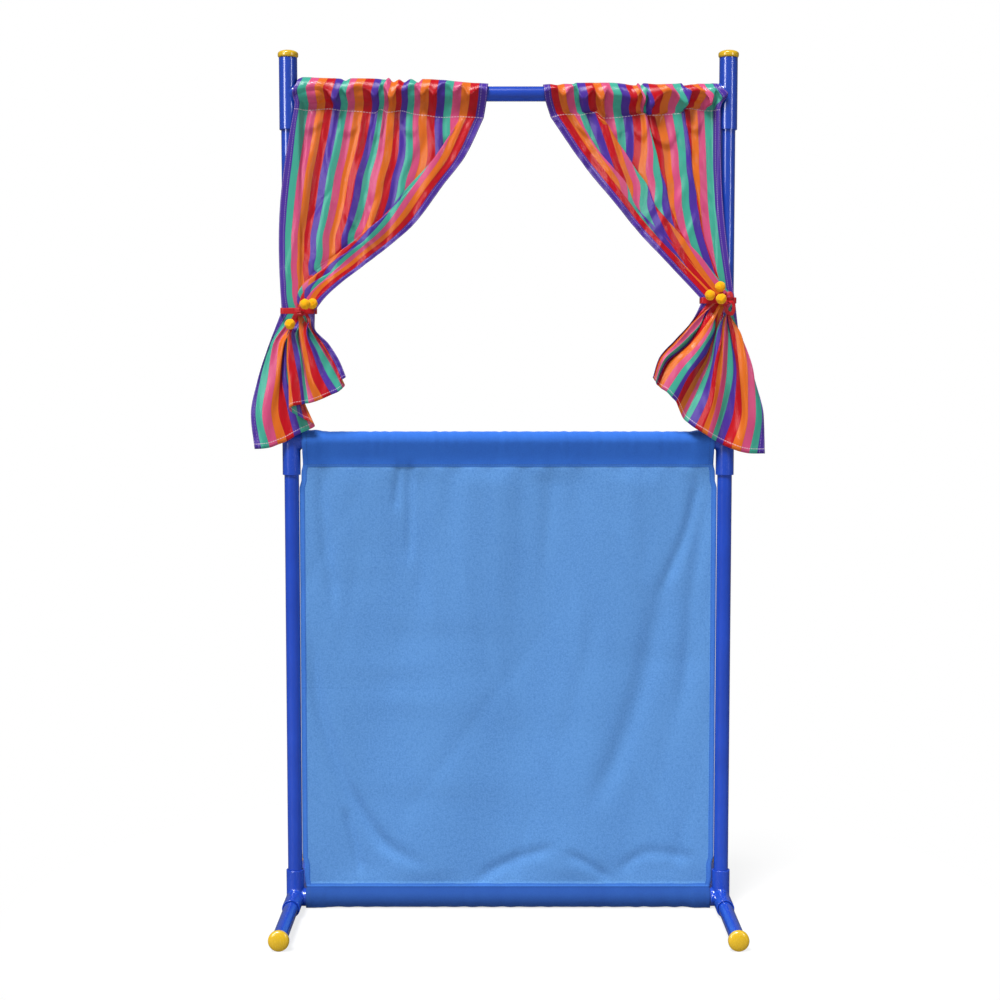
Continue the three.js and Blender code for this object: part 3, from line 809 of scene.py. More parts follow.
# A tuck's rows are (w, u, share): at that place down the cloth, where the tuck's middle lies across it, and
# the share of the cloth's width that it hides.
LEFT_TUCKS = (
    ((0, .90, 0), (.3, .80, .123), (.45, .737, .17), (.6, .64, .17), (.75, .44, .19), (.88, .26, .17), (1, .19, .14)),
    ((0, .85, 0), (.3, .85, 0), (.6, .74, .08), (.75, .64, .19), (.88, .43, .17), (1, .34, .16)),
    ((0, .86, 0), (.6, .82, 0), (.75, .76, .05), (.88, .60, .17), (1, .50, .16)),
    ((0, .87, 0), (.75, .85, 0), (.88, .75, .09), (1, .66, .16)),
    ((0, .88, 0), (.75, .88, 0), (.88, .86, .04), (1, .82, .15)),
    ((0, .95, 0), (.88, .95, 0), (1, .93, .06)),
)
RIGHT_TUCKS = (
    ((0, .87, .01), (.19, .86, .055), (.34, .825, .11), (.51, .77, .14), (.65, .73, .17), (.8, .68, .18),
     (1, .66, .20)),
    ((0, .75, .04), (.19, .66, .06), (.34, .60, .11), (.51, .535, .12), (.65, .47, .14), (.8, .42, .16),
     (1, .40, .18)),
    ((0, .46, .06), (.34, .40, .05), (.51, .365, .05), (.65, .34, .06), (.8, .30, .08), (1, .27, .14)),
    ((0, .19, .02), (.34, .19, .05), (.51, .17, .06), (.65, .17, .07), (.8, .16, .09), (1, .14, .13)),
    ((0, .92, 0), (.34, .92, 0), (.51, .90, .10), (.65, .90, .12), (.8, .88, .14), (1, .86, .16)),
)

# The width that each stripe takes in the gathered rod pocket, from the post's side, as shares of their sum
LEFT_GATHERS = (
    5, 9, 9, 9, 8.5, 8, 7.5, 7.5, 9.5, 9, 7.5, 5.5, 4.5, 8, 6, 6.5, 7, 6, 9, 8.5, 8.5, 8, 9, 8.5, 9.5, 9)
RIGHT_GATHERS = (
    6, 8.5, 7, 7, 8.5, 3.5, 8.5, 8, 9, 8.7, 6, 3, 3, 5, 7.5, 8.5, 8.5, 9, 9, 8, 9, 5.5, 7.5, 8, 7.5, 7)

# Along the rod pocket, (k, height over the rail's axis): its top edge, the ridge below which its front turns
# under, and the line of stitches
LEFT_TOP = (
    (0, 20), (1, 22), (3, 21), (5.5, 20), (6.2, 17), (7, 20.5), (10, 20), (11.6, 18.5), (12.3, 21), (13.3, 15.5),
    (14, 19), (14.9, 15), (16, 19.5), (17.2, 14.5), (18, 19.5), (20, 18.5), (22, 16.5), (24, 14.5), (26, 13.4))
LEFT_RIDGE = (
    (0, -1), (1, 2), (2.2, 6), (3.4, 7), (4.4, 2), (5.4, -12), (6.3, 5), (7.1, -2), (7.7, 5), (8.6, 8), (9.6, 3),
    (10.5, -6.5), (11.5, 10), (12.5, 4), (13.4, -9), (14.3, 4), (15.5, 1), (16.5, 9), (17.4, 7), (18.3, -3.5),
    (18.9, 5), (19.6, -4), (20.7, 11), (21.6, 9), (22.2, 0), (23, 10), (24, -4), (25, 5), (26, 1))
LEFT_STITCH = (
    (0, -21), (2, -21.5), (4.5, -19.5), (6, -21.5), (9, -23.5), (10.4, -25), (11.4, -20), (13, -24), (15, -22),
    (17, -26), (19, -28.5), (21, -31), (23, -30), (24.5, -30.5), (26, -32))
RIGHT_TOP = (
    (0, 13), (1, 13.5), (1.7, 10), (2.3, 12.5), (4, 12), (4.9, 10.3), (5.6, 14), (7, 13), (9, 12.6), (10.6, 14),
    (11.5, 10.3), (12.6, 14), (13.3, 10.3), (14.3, 11.5), (15.5, 13.5), (17, 14.6), (21, 14.4), (21.7, 12.4),
    (23, 13), (24, 11.2), (25, 12.6), (26, 12))
RIGHT_RIDGE = (
    (0, -2), (1, -9), (1.7, 4), (2.4, -17), (3, -2), (4, 2), (4.9, 1), (5.6, -10), (6.2, -17), (6.9, -9), (7.6, 1),
    (8.4, 2), (9.5, -8), (10.5, -20), (11.3, 4), (12.4, -14), (13.3, 0), (14.4, -9), (16, -5), (17, -4), (17.7, 4),
    (18.3, -12), (19.3, 3), (20.5, -10), (21.6, 8), (22.4, 6), (23.3, -5), (24.3, 5), (26, 0))
RIGHT_STITCH = (
    (0, -22.5), (2, -22), (3, -21), (4, -19), (5.5, -23), (6.4, -26), (8, -27.5), (10, -28.5), (11, -29), (13, -26.5),
    (15, -29), (18, -32), (19, -24), (20.5, -25.5), (22, -28), (24, -27), (26, -31))

# Soft scoops in the cloth below the stitches: (k of the middle, half its width in stripes, w of its lowest
# point, how far it stands forward)
LEFT_SWAGS = (
    (2.6, 1.8, .085, 3.2), (7.5, 1.6, .10, 3.0), (11.4, 1.3, .12, 2.6), (16.6, 1.7, .09, 3.0), (21.5, 1.8, .10, 2.4))
RIGHT_SWAGS = (
    (3.6, 1.5, .10, 3.2), (8.4, 1.9, .15, 4.2), (13.9, 1.4, .11, 2.6), (17.4, 1.8, .08, 2.6), (22.4, 1.5, .10, 2.4))

# The tails: for each k, where the cloth lies across at each level s from the waist to the hem, how far it
# stands forward there, and the height of its hem
LEFT_TAIL_K = (0, 1, 2, 3, 4, 5, 6, 7.9, 10.4, 13, 14, 15, 16, 17, 18, 19, 20, 21, 22, 23, 24.4, 26)
LEFT_TAIL_ACROSS = (
    (.25, (-28, -26.5, -22, -14, -6, -5.5, -4, 4, 1.5, -.5, 1, 4, 10, 13, 15, 20, 25, 27, 30, 32, 31, 36)),
    (.5, (-43.5, -40, -29.5, -18.5, -12, -10.5, -4, 3, 0, -2, 0, 8.5, 15.5, 18, 20, 26, 33, 38.5, 45, 50, 47, 55)),
    (.75, (-53, -46.5, -37, -25, -15.5, -4, 4, 17, 9, .5, 3.5, 14.5, 18.5, 22, 25, 32, 42.5, 50, 60, 64.5, 60, 69)),
    (1, (-48.5, -39, -27.5, -16.5, -4, 6, 15.5, 34.5, 17, 1, 7, 18, 22, 27, 35, 47, 58, 67, 73, 76, 71, 78)),
)
LEFT_TAIL_DEPTH = (
    (.25, (13, 14.5, 16, 18.5, 17, 16, 16, 17, 20.5, 24.5, 25.5, 26, 24, 22.5, 23, 25.5, 26, 24, 23, 24, 26, 27)),
    (.5, (13, 15, 18, 21, 18, 15.5, 15.5, 16.5, 22, 28, 30, 29, 25, 22.5, 24, 28, 28.5, 26, 23, 24, 28, 28)),
    (.75, (14, 17, 21, 20, 17, 17, 17.5, 18, 24, 31, 33, 31, 26.5, 23, 25, 30, 29, 26, 23, 25, 29, 28)),
    (1, (15, 18.5, 19, 17.5, 17, 18, 18.5, 21, 28, 33, 35, 32, 28, 25.5, 26, 30, 30, 27, 25, 26, 31, 30)),
)
LEFT_HEM = (
    641, 641.5, 643, 647, 652, 658, 663, 673, 684, 696, 700, 702, 703, 703.5, 705.5, 710, 715, 719, 724, 728,
    733, 739)
RIGHT_TAIL_K = tuple(range(27))
RIGHT_TAIL_ACROSS = (
    (.25, (-17, -19, -20, -20, -11, -5, -4, -1, 5, 8, 9, 14, 15, 15.5, 16, 16.5, 17.5, 20.5, 21.5, 27.5, 34, 34.5,
           35.5, 43.5, 45, 45.7, 48)),
    (.5, (-34, -37, -36, -27, -16, -13, -8.5, .5, 7.5, 14, 19, 21, 23, 25, 26, 27.5, 34, 37, 41.5, 50, 51.5, 53, 59.5,
          66.5, 68, 69, 70.5)),
    (.75, (-50.5, -47.5, -38.5, -27.5, -20, -10, 0, 7.5, 15, 20, 26, 33, 39.5, 43, 47.5, 54, 57, 62.5, 71, 80.5, 83,
           85, 88, 90, 91, 92, 93)),
    (1, (-52.5, -41.5, -30, -19, -6, 5.5, 15, 21.5, 27.5, 35, 44, 53, 58.5, 62, 66.5, 70, 76, 83, 90, 93, 96, 97,
         98, 99, 99.5, 100, 101)),
)
RIGHT_TAIL_DEPTH = (
    (.25, (12.5, 12.5, 17.5, 21, 20.5, 15.5, 13.5, 16, 20, 21, 23, 22.5, 17.5, 13.5, 14, 17, 21, 25, 26, 25,
           20, 19, 23.5, 25, 21, 20, 21)),
    (.5, (14.2, 14.2, 21, 27, 24, 15, 14.2, 17, 23, 27, 29, 23, 15, 14.2, 15, 23, 29, 30, 29, 23, 17, 18, 26,
           26, 20, 18, 20)),
    (.75, (14.2, 18, 24, 27, 21, 15, 15, 20.5, 26, 29, 26, 20, 14.5, 15, 23, 29, 30, 29, 26, 20, 17, 21, 27,
           24, 18, 17, 18)),
    (1, (15.5, 20, 22.5, 22.5, 20, 17.5, 20, 24, 27, 27, 23.5, 20, 17, 19, 22.5, 25.5, 27, 25.5, 22.5, 20, 21,
           25.5, 27, 22.5, 18.5, 17, 17)),
)
RIGHT_HEM = (
    635, 635, 635.5, 637.5, 642, 647, 652, 656, 660, 664.5, 670, 677, 682, 688, 698, 705.5, 711.5, 719, 723.5, 726.5,
    729, 731, 733, 734.5, 736, 737, 738)

CURTAINS = {
    "left": dict(
        tucks=LEFT_TUCKS, gathers=LEFT_GATHERS, top=LEFT_TOP, ridge=LEFT_RIDGE, stitch=LEFT_STITCH, swags=LEFT_SWAGS,
        tail_k=LEFT_TAIL_K, tail_across=LEFT_TAIL_ACROSS, tail_depth=LEFT_TAIL_DEPTH, hem=LEFT_HEM,
        start=9, bulge=7, inner=270, taper=6, sway=11, seed=11,
        edge=((0, 264), (.2, 239), (.35, 209), (.54, 172), (.73, 114), (.85, 73), (.93, 50), (1, 36)),
    ),
    "right": dict(
        tucks=RIGHT_TUCKS, gathers=RIGHT_GATHERS, top=RIGHT_TOP, ridge=RIGHT_RIDGE, stitch=RIGHT_STITCH,
        swags=RIGHT_SWAGS, tail_k=RIGHT_TAIL_K, tail_across=RIGHT_TAIL_ACROSS, tail_depth=RIGHT_TAIL_DEPTH,
        hem=RIGHT_HEM, start=12, bulge=2, inner=250, taper=10, sway=-6, seed=23,
        edge=((0, 240), (.2, 206), (.37, 174), (.6, 127), (.8, 82), (.93, 51), (1, 35)),
    ),
}
STRIPES = 26
STRIPE_COLOURS = ((76, 47, 154), (65, 168, 146), (210, 79, 125), (222, 108, 30), (190, 12, 28))
CUT_LENGTH = 560 * MM
WAIST_OUTER = -10
NECK_DEPTH = 12.2

# The grid; the drape's rows lie closer together near the waist, where w follows the share of the rows
COLUMNS = 235
HEADER_ROWS, DRAPE_ROWS, TAIL_ROWS = 40, 104, 44
DRAPE_SPACING = (0, .35, .93, 1), (0, .5, .95, 1)

# What the cloth keeps from an axis: the header from the rail's over the tube and over the tee's arm, and each
# part from the post's. The arm ends at that place across.
RAIL_CLEAR, ARM_CLEAR, ARM_END = 10.9, 13.2, 41
HEADER_CLEAR, DRAPE_CLEAR, TAIL_CLEAR = 13.6, 13.2, 14.2


def tucked(u, w, tucks):
    """How far the tucks take the cloth back at each point, and how far its layers stand forward. Each tuck
    takes back its share in a smooth step narrower than the share, so the cloth runs back under itself. Past
    the step it lies in front, and away from the waist it sinks back to the other cloth's depth."""
    back, forward = 0 * u * w, 0 * u * w
    crowded = smooth((w - 0.62) / 0.25)
    for tuck in tucks:
        places, centres, shares = np.array(tuck).T
        centre, share = keyed(w, places, centres), keyed(w, places, shares)
        width = np.maximum(0.6 * share, 0.008)
        step = smooth((u - centre) / width + 0.5)
        past = np.maximum(u - centre - 0.7 * share, 0) / (share + 0.04)
        stand = mix(5.0, 2.15, crowded) * share / (share + 0.03)
        back = back + share * step
        forward = forward + stand * step * mix(np.exp(-past * past), 1, crowded)
    return back, forward


def gathered(u, w, widths):
    """The share of the width at which each u lies: the gathers' uneven widths at the stitch line, which even
    out down the cloth."""
    edges = np.concatenate([[0], np.cumsum(widths)]) / np.sum(widths)
    bunched = keyed(u * STRIPES, np.arange(len(edges)), edges)
    return mix(bunched, u, smooth(w / 0.32))


def over_post(across, clear):
    """The depth that keeps cloth in front of the post and tee, fading out beside them."""
    return clear * (1 - smooth((across - 13.5) / 11))


def along_stripes(u, rows):
    """The curve through rows of (k, value), read at each u."""
    places, values = np.array(rows).T
    return keyed(u * STRIPES, places, values)


def header_points(c, u, rail, creases):
    """The rod pocket. Its section rises from the stitches behind the rail to the top edge, comes forward over
    it in a quarter ellipse down to the ridge, and from there runs straight back and down to the stitches.
    Where that would enter the rail or the tee's arm, it is pushed out to lie on them. Small creases lie on
    it."""
    q = np.linspace(-1, 1, HEADER_ROWS, endpoint=False)[:, None]
    share = gathered(u, 0 * u, c["gathers"])
    begin = keyed(q, (-1, 0, .25, .5, .8, 1), (15.8, 15, 12.6, c["bulge"], 10, c["start"]))
    end = keyed(q, (-1, 0, .5, 1), (c["inner"] - c["taper"], c["inner"], c["inner"] - 1, c["inner"] - c["taper"]))
    across = begin + (end - begin) * share
    top, ridge, stitch = (along_stripes(u, c[name]) for name in ("top", "ridge", "stitch"))
    behind = 1.5 + 5 * ripple(u, 9, c["seed"])
    ridge = np.where(q > 0, ridge, behind)
    belly = np.where(q > 0, 16 - 0.2 * np.clip(ridge, -14, 8), 14.5 + 0 * u)
    part = np.abs(q)
    over = np.clip(part / 0.5, 0, 1) * np.pi / 2
    under = np.clip(part / 0.5 - 1, 0, 1)
    depth = belly * np.sin(over) * (1 - under - 0.8 * under * (1 - under))
    height = ridge + (top - ridge) * np.cos(over) + (stitch - ridge) * under
    spread = np.sqrt(depth**2 + height**2)
    near_tee = 1 - smooth((across - ARM_END) / 8)
    out = soft_larger(spread, mix(RAIL_CLEAR, ARM_CLEAR, near_tee), 0.6) / spread
    wrinkle = creases * 0.7 * dents(u, q / 2 + 0.5, 90, c["seed"] + 1, 0.012, 0.07, 0.1)
    out = out + wrinkle * np.sin(np.clip(part, 0, 0.97) * np.pi) / spread
    depth, height = depth * out, height * np.where(part < 0.9, out, 1)
    depth = np.where(q > 0, depth + 0.5, -depth - 0.5)
    in_front = soft_larger(depth, over_post(across, HEADER_CLEAR), 1.0)
    depth = np.where(q > 0, mix(depth, in_front, smooth((q - 0.12) / 0.25)), depth)
    return stacked(across, depth, rail + height)


def hem_puckers(u, along, seed):
    """Small uneven waves along the doubled side hems, and the step where each hem's edge lies."""
    from_side = np.minimum(u, 1 - u) * STRIPES
    on_hem = 1 - smooth((from_side - 0.65) / 0.25)
    return on_hem * (0.45 + 0.75 * ripple(along + 0.05 * np.round(u), 17, seed, 4))


def swagged(u, w, swags):
    """Scoops: each rises from the stitches to a round lower edge and falls off sharply below it."""
    total = 0 * u * w
    for k, half, low, stand in swags:
        round_edge = np.sqrt(np.clip(1 - ((u * STRIPES - k) / half) ** 2, 0, 1))
        edge = np.maximum(low * round_edge, 1e-4)
        rise = np.clip(w / edge, 0, 1)
        total = total + stand * round_edge * rise * (1 - smooth((w - edge) / 0.045))
    return total


def drape_points(c, u, w, waist, rail, creases):
    """The hanging cloth between the stitches and the waist: its outer and inner edges are the curves that
    the tie pulls them into, its stripes keep their width between the tucks, and low waves that follow the
    place and not the cloth keep the layers apart. Gathers and scoops hang from the stitches, and seeded
    creases and the side hems' puckers fade towards the waist."""
    back, forward = tucked(u, w, c["tucks"])
    raw = gathered(u, w, c["gathers"]) - back
    share = raw / raw[:, -1:]
    outer = mix(c["start"], WAIST_OUTER, w) - c["sway"] * np.sin(np.pi * w)
    inner = keyed(w, *np.array(c["edge"]).T)
    across = outer + (inner - outer) * share
    height = mix(rail + along_stripes(u, c["stitch"]), waist, w)
    place = across / 300
    loose = np.sin(np.pi * np.clip(w, 0, 1)) ** 0.7 * (1 - smooth((w - 0.7) / 0.3))
    depth = keyed(w, (0, .12, .5, .85, 1), (0.5, 3.0, 8.5, 12.0, NECK_DEPTH)) + forward
    depth = depth + 5.4 * loose * ripple(place + 0.16 * w, 6.5, c["seed"] + 2, 3)
    depth = depth + swagged(u, w, c["swags"])
    gathers = smooth(w / 0.02) * np.exp(-w / 0.2)
    depth = depth + 2.4 * gathers * ripple(u, 20, c["seed"] + 3, 4)
    near = 1 - smooth((w - 0.75) / 0.2)
    depth = depth + creases * near * 1.7 * dents(place, w, 64, c["seed"] + 4, 0.018, 0.15, 0.35)
    depth = depth + creases * near * hem_puckers(u, w, c["seed"] + 8)
    depth = soft_larger(depth, over_post(across, DRAPE_CLEAR), 1.2)
    return stacked(across, depth, height)


def tail_points(c, u, neck, waist, creases):
    """The tail below the waist, carried through its sections: the neck's own row and then the tables' rows.
    The depth stays near the neck's for a short way. Pleats run down from the waist, and low waves, seeded
    creases and the side hems' puckers grow below it."""
    s = np.linspace(0, 1, TAIL_ROWS)[:, None]
    k = u[0] * STRIPES
    levels = [0] + [level for level, _ in c["tail_across"]]
    across_rows, depth_rows = (
        [neck[:, axis]] + [keyed(k, c["tail_k"], row) for _, row in c[table]]
        for axis, table in enumerate(("tail_across", "tail_depth"))
    )
    across = keyed(s[:, 0], levels, np.array(across_rows))
    depth_rows.insert(1, mix(depth_rows[0], depth_rows[1], 0.12))
    depth = keyed(s[:, 0], (0, 0.09, *levels[1:]), np.array(depth_rows))
    hem = keyed(k, c["tail_k"], c["hem"])[None, :]
    pleats = smooth(s * 4) * np.exp(-((s / 0.55) ** 2))
    depth = depth + 3.4 * pleats * ripple(u, 13, c["seed"] + 5, 2)
    depth = depth + creases * smooth(s * 5) * hem_puckers(u, s * 0.7, c["seed"] + 9)
    depth = depth + 0.9 * smooth(s * 3) * ripple(across / 120 + 0.3 * s, 5, c["seed"] + 6, 3)
    depth = depth + creases * 0.9 * smooth(s * 3) * dents(across / 120, s, 34, c["seed"] + 7, 0.05, 0.14, 0.4)
    depth = np.maximum(depth, TAIL_CLEAR)
    return stacked(across, depth, mix(waist, hem, s))


def curtain_points(side, creases, width):
    """The whole curtain as one grid from the back of its rod pocket, over the rail and down to the hem.
    Returns across, depth and height in millimetres, and the cloth coordinates and row places in metres."""
    c = CURTAINS[side]
    waist, rail = WAIST_Z[side] / MM, RAIL_Z / MM
    u = np.linspace(0, 1, COLUMNS)[None, :]
    header = header_points(c, u, rail, creases)
    w = np.interp(np.linspace(0, 1, DRAPE_ROWS + 1), *DRAPE_SPACING)[:, None]
    drape = drape_points(c, u, w, waist, rail, creases)
    tail = tail_points(c, u, drape[-1], waist, creases)
    points = np.concatenate([header, drape[:-1], tail])
    length = along_path(points)
    length *= CUT_LENGTH / length[-1]
    return points, stacked(u * width, length[:, None]), length


def satin_material(cloth, length, stitch_at):
    """Striped satin: stripes by the cloth's own width, a dark line between them, a fine weave, side and
    bottom hems with stitches, and the gathering stitches under the rod pocket."""
    material, g, sockets = new_material(
        "striped_satin", Sheen_Weight=0.05, Sheen_Roughness=0.4, Specular_IOR_Level=0.3)
    place = g.cloth_place()
    across, along = g.first_two(place)
    width = cloth.stripe * cloth.stripes
    count = g.math("DIVIDE", across, cloth.stripe)
    period = len(STRIPE_COLOURS)
    ramp = g.node("ShaderNodeValToRGB")
    stops = ramp.color_ramp.elements
    ramp.color_ramp.interpolation = "CONSTANT"
    while len(stops) < period:
        stops.new(0.5)
    for index, (stop, colour) in enumerate(zip(stops, STRIPE_COLOURS)):
        stop.position = index / period
        stop.color = screen(*colour)
    g.feed(ramp.inputs[0], g.math("DIVIDE", g.math("FLOORED_MODULO", count, period), period))
    edge = g.off_middle(g.math("FRACT", count), 0.5)
    colour = g.blend(g.span(edge, 0.47, 0.5, 0.0, 0.35), ramp.outputs[0], (0.03, 0.02, 0.05, 1))
    weave = g.group(shared("weave"), Place=place, Threads=2400.0, Warp=0.4, Slubs=0.5)
    tone = g.noise(g.stretch(place, (1, 0.25, 1)), 60.0, 4.0)
    colour = g.blend(g.span(tone, 0.3, 0.75, 0.0, 0.25), colour, g.tinted(colour, (0.72, 0.7, 0.75)))
    from_edge = g.math("MINIMUM", across, g.math("SUBTRACT", width, across))
    side_stitch, side_thread, gather_stitch, gather_thread = 0.0032, 0.0004, 0.004, 0.0005
    side, inner, hem, gather = stitch_rows(g, [
        (from_edge, 0.0085, along, side_stitch, side_thread),
        (from_edge, 0.0015, along, side_stitch, side_thread),
        (g.math("SUBTRACT", length, along), 0.005, across, side_stitch, side_thread),
        (along, stitch_at + 0.0005, across, gather_stitch, gather_thread),
    ])
    mask = g.largest(g.math("MULTIPLY", g.largest(side, inner), 0.45), hem, gather)
    g.feed(sockets["Base Color"], g.blend(g.math("MULTIPLY", mask, 0.7), colour, (0.75, 0.6, 0.68, 1)))
    g.feed(sockets["Roughness"], g.span(tone, 0.2, 0.8, 0.16, 0.3))
    height = g.math("ADD", weave.outputs["Height"], g.math("MULTIPLY", mask, 3.0))
    g.feed(sockets["Normal"], g.bump(height, 0.25, 0.00012))
    return material


class THEATRE_OT_curtains(bpy.types.Operator):
    """Hangs the gathered satin curtains on the top rail"""

    bl_idname = "theatre.curtains"
    bl_label = "Curtains"

    def execute(self, context):
        cloth = context.scene.theatre_curtain
        width = cloth.stripe * cloth.stripes
        for side, sign in SIDES.items():
            points, uvs, length = curtain_points(side, cloth.creases, width)
            across, depth, height = np.moveaxis(points, -1, 0) * MM
            places = np.stack([sign * (POST_X - across), -depth, height], -1)
            faces = grid_faces(*across.shape)
            if sign > 0:
                faces = faces[:, ::-1]
            piece = add_mesh(f"{side}_curtain_cloth", places, faces, uvs)
            wall = piece.modifiers.new("thickness", "SOLIDIFY")
            wall.thickness, wall.offset = cloth.thickness, 0
            apply_modifiers(piece)
            material = satin_material(cloth, float(length[-1]), float(length[HEADER_ROWS]))
            finish_piece(piece, material, [f"{side}_curtain_header", f"{side}_curtain_drape"], None)
            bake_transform(piece)
        return {"FINISHED"}


# Front panel

LOW_SEAM_Z = BOTTOM_SEAM_Z - 5 * MM
PANEL_THICKNESS = 0.5 * MM
PANEL_COLUMNS = 210
TOP_ROWS, BODY_ROWS, LOW_ROWS = 30, 128, 26

# The pockets' radius on the tube, on the fittings' arms, and at most round the bottom rail, how far the low one
# is drawn out as it hangs, and its gap to the floor
POCKET_ON_TUBE, POCKET_ON_ARM, POCKET_MOST = 10.7 * MM, 12.75 * MM, 13.3 * MM
LOW_HANG, FLOOR_GAP = 1.2, 0.4 * MM

# Where the seam allowances end down the body, as shares of its height, with a row beside each end
PANEL_STRIPS = np.array([0.0064, 0.0076, 0.9908, 0.992])

# The panel's main folds: depth and width in mm, then the line as shares across and down the body
PANEL_FOLDS = [
    (3.4, 9, [(0.045, -0.04), (0.057, 0.14), (0.07, 0.24), (0.091, 0.38)]),
    (5.0, 10, [(0.018, 0.36), (0.039, 0.55), (0.07, 0.66), (0.107, 0.76), (0.148, 0.83), (0.2, 0.9), (0.34, 0.965)]),
    (3.6, 8, [(0.965, 0.0), (0.932, 0.145), (0.885, 0.263), (0.86, 0.33)]),
    (4.4, 16, [(0.88, 0.22), (0.844, 0.43), (0.807, 0.57), (0.755, 0.71), (0.68, 0.85)]),
    (2.6, 10, [(0.99, 0.0), (0.968, 0.145), (0.942, 0.31), (0.932, 0.46), (0.906, 0.65)]),
    (2.9, 8, [(0.4, 1.0), (0.5, 0.943), (0.63, 0.9)]),
    (2.7, 7, [(0.63, 0.915), (0.709, 0.953), (0.76, 0.99)]),
    (2.2, 8, [(0.76, 0.97), (0.849, 0.918), (0.97, 0.935)]),
    (3.2, 6, [(0.1, 0.8), (0.127, 0.904), (0.139, 0.98)]),
    (2.4, 6, [(0.24, -0.05), (0.229, 0.12)]),
    (3.0, 7, [(0.257, -0.1), (0.2645, 0.105), (0.26, 0.26)]),
]


def on_body(v, t):
    """A place on the panel's body, given as shares across and down it, in mm."""
    return v * 2 * PANEL_HALF / MM, t * (TOP_SEAM_Z - LOW_SEAM_Z) / MM


def drawn_folds(v, t):
    """Valleys along the drawn lines: a bell across each line that fades towards its ends. In mm."""
    across, down = on_body(v, t)
    total = 0 * (across + down)
    for depth, width, line in PANEL_FOLDS:
        spots = curve_through([on_body(*spot) for spot in line], 24)
        nearest, share = np.full(total.shape, 1e9), np.zeros(total.shape)
        for number, (start, end) in enumerate(zip(spots[:-1], spots[1:])):
            way = end - start
            on = np.clip(((across - start[0]) * way[0] + (down - start[1]) * way[1]) / (way @ way), 0, 1)
            away = np.hypot(across - start[0] - on * way[0], down - start[1] - on * way[1])
            share = np.where(away < nearest, (number + on) / (len(spots) - 1), share)
            nearest = np.minimum(away, nearest)
        total = total + depth * np.exp(-((nearest / width) ** 2)) * smooth(4 * share) * smooth(4 * (1 - share))
    return total


def pocket_loop(turn, radius, drop):
    """Radius of a cloth pocket round a rail: the rail's round, then straight to the seam at the drop."""
    from_seam = np.pi - np.abs(turn)
    tangent = np.arccos(radius / drop)
    return radius / np.cos(np.maximum(tangent - from_seam, 0))


def panel_points(hem):
    """The front panel as one grid: the top pocket from its seam behind the rail over to the front, the body
    down to the lower seam, and the bottom pocket forward, under its rail and back up, hanging to the floor.
    The body is a little wider than the pockets, its doubled side hems and seam allowances stand forward,
    and its folds are low waves, seeded creases and the drawn valleys. Returns the points, the cloth
    coordinates and the rows' places down the cloth, and the places of its two seams, in metres."""
    edges = PANEL_HALF - hem + np.array([-0.4, 0.4]) * MM
    even = np.linspace(-PANEL_HALF, PANEL_HALF, PANEL_COLUMNS)
    x = np.sort(np.concatenate([even, edges, -edges]))[None, :]
    v = x / (2 * PANEL_HALF) + 0.5
    arms = smooth((np.abs(x) - (POST_X - BRANCH - 6 * MM)) / (8 * MM))
    radius = mix(POCKET_ON_TUBE, POCKET_ON_ARM, arms)

    turn = np.linspace(-np.pi, np.pi, TOP_ROWS, endpoint=False)[:, None]
    drop = MIDDLE_Z - TOP_SEAM_Z
    pucker = 0.55 * MM * (1 + ripple(v, 34, 31, 4))
    r = pocket_loop(turn, radius + pucker, drop)
    top = stacked(x, -r * np.sin(turn), MIDDLE_Z + r * np.cos(turn))

    t = np.sort(np.concatenate([np.linspace(0, 1, BODY_ROWS, endpoint=False), PANEL_STRIPS]))[:, None]
    edge = smooth(np.minimum(t, 1 - t) / 0.05)
    lean = 3.2 * MM * edge * ripple(v + 0.15 * t, 3, 32, 3)
    fine = 1.5 * MM * np.exp(-t / 0.25) * smooth(t / 0.02) * ripple(v + 0.03 * t, 12, 33, 5)
    creases = 0.9 * MM * edge * dents(v, t, 34, 34, 0.02, 0.2, 0.35)
    slack = 0.9 * MM * smooth(t / 0.5) * edge * dents(v, t, 16, 36, 0.16, 0.035, 0.2)
    folds = MM * smooth(np.minimum(t, 1 - t) / 0.012) * drawn_folds(v, t)
    hems = PANEL_THICKNESS * (1 - smooth((PANEL_HALF - np.abs(x) - hem) / (0.8 * MM) + 0.5))
    strips = PANEL_THICKNESS * (smooth((PANEL_STRIPS[1] - t) / 0.0012) + smooth((t - PANEL_STRIPS[2]) / 0.0012))
    y = folds - (lean + fine + creases + slack + np.maximum(hems, strips))
    by_posts = smooth((t - 0.036) / 0.02) * smooth((0.944 - t) / 0.015)
    wide = 1 + (2.2 * smooth(np.minimum(t, 1 - t) / 0.02) + 2.8 * by_posts) * MM / PANEL_HALF
    z = mix(TOP_SEAM_Z, LOW_SEAM_Z, t) + 0 * x
    body = stacked(x * wide, y, z)

    turn = np.linspace(0, 2 * np.pi, LOW_ROWS)[:, None]
    drop = LOW_SEAM_Z - FOOT_Z
    scallop = 0.6 * MM * (1 + ripple(v, 22, 35, 4))
    r = pocket_loop(np.pi - turn, np.minimum(radius + scallop, POCKET_MOST), drop)
    rise = r * np.cos(turn)
    height = np.maximum(FOOT_Z + rise * np.where(rise < 0, LOW_HANG, 1.0), FLOOR_GAP)
    low = stacked(x, -r * np.sin(turn), height)

    points = np.concatenate([top, body, low])
    length = along_path(points)
    seams = float(length[TOP_ROWS]), float(length[TOP_ROWS + len(t)])
    return points, stacked(x + PANEL_HALF, length[:, None]), length, *seams


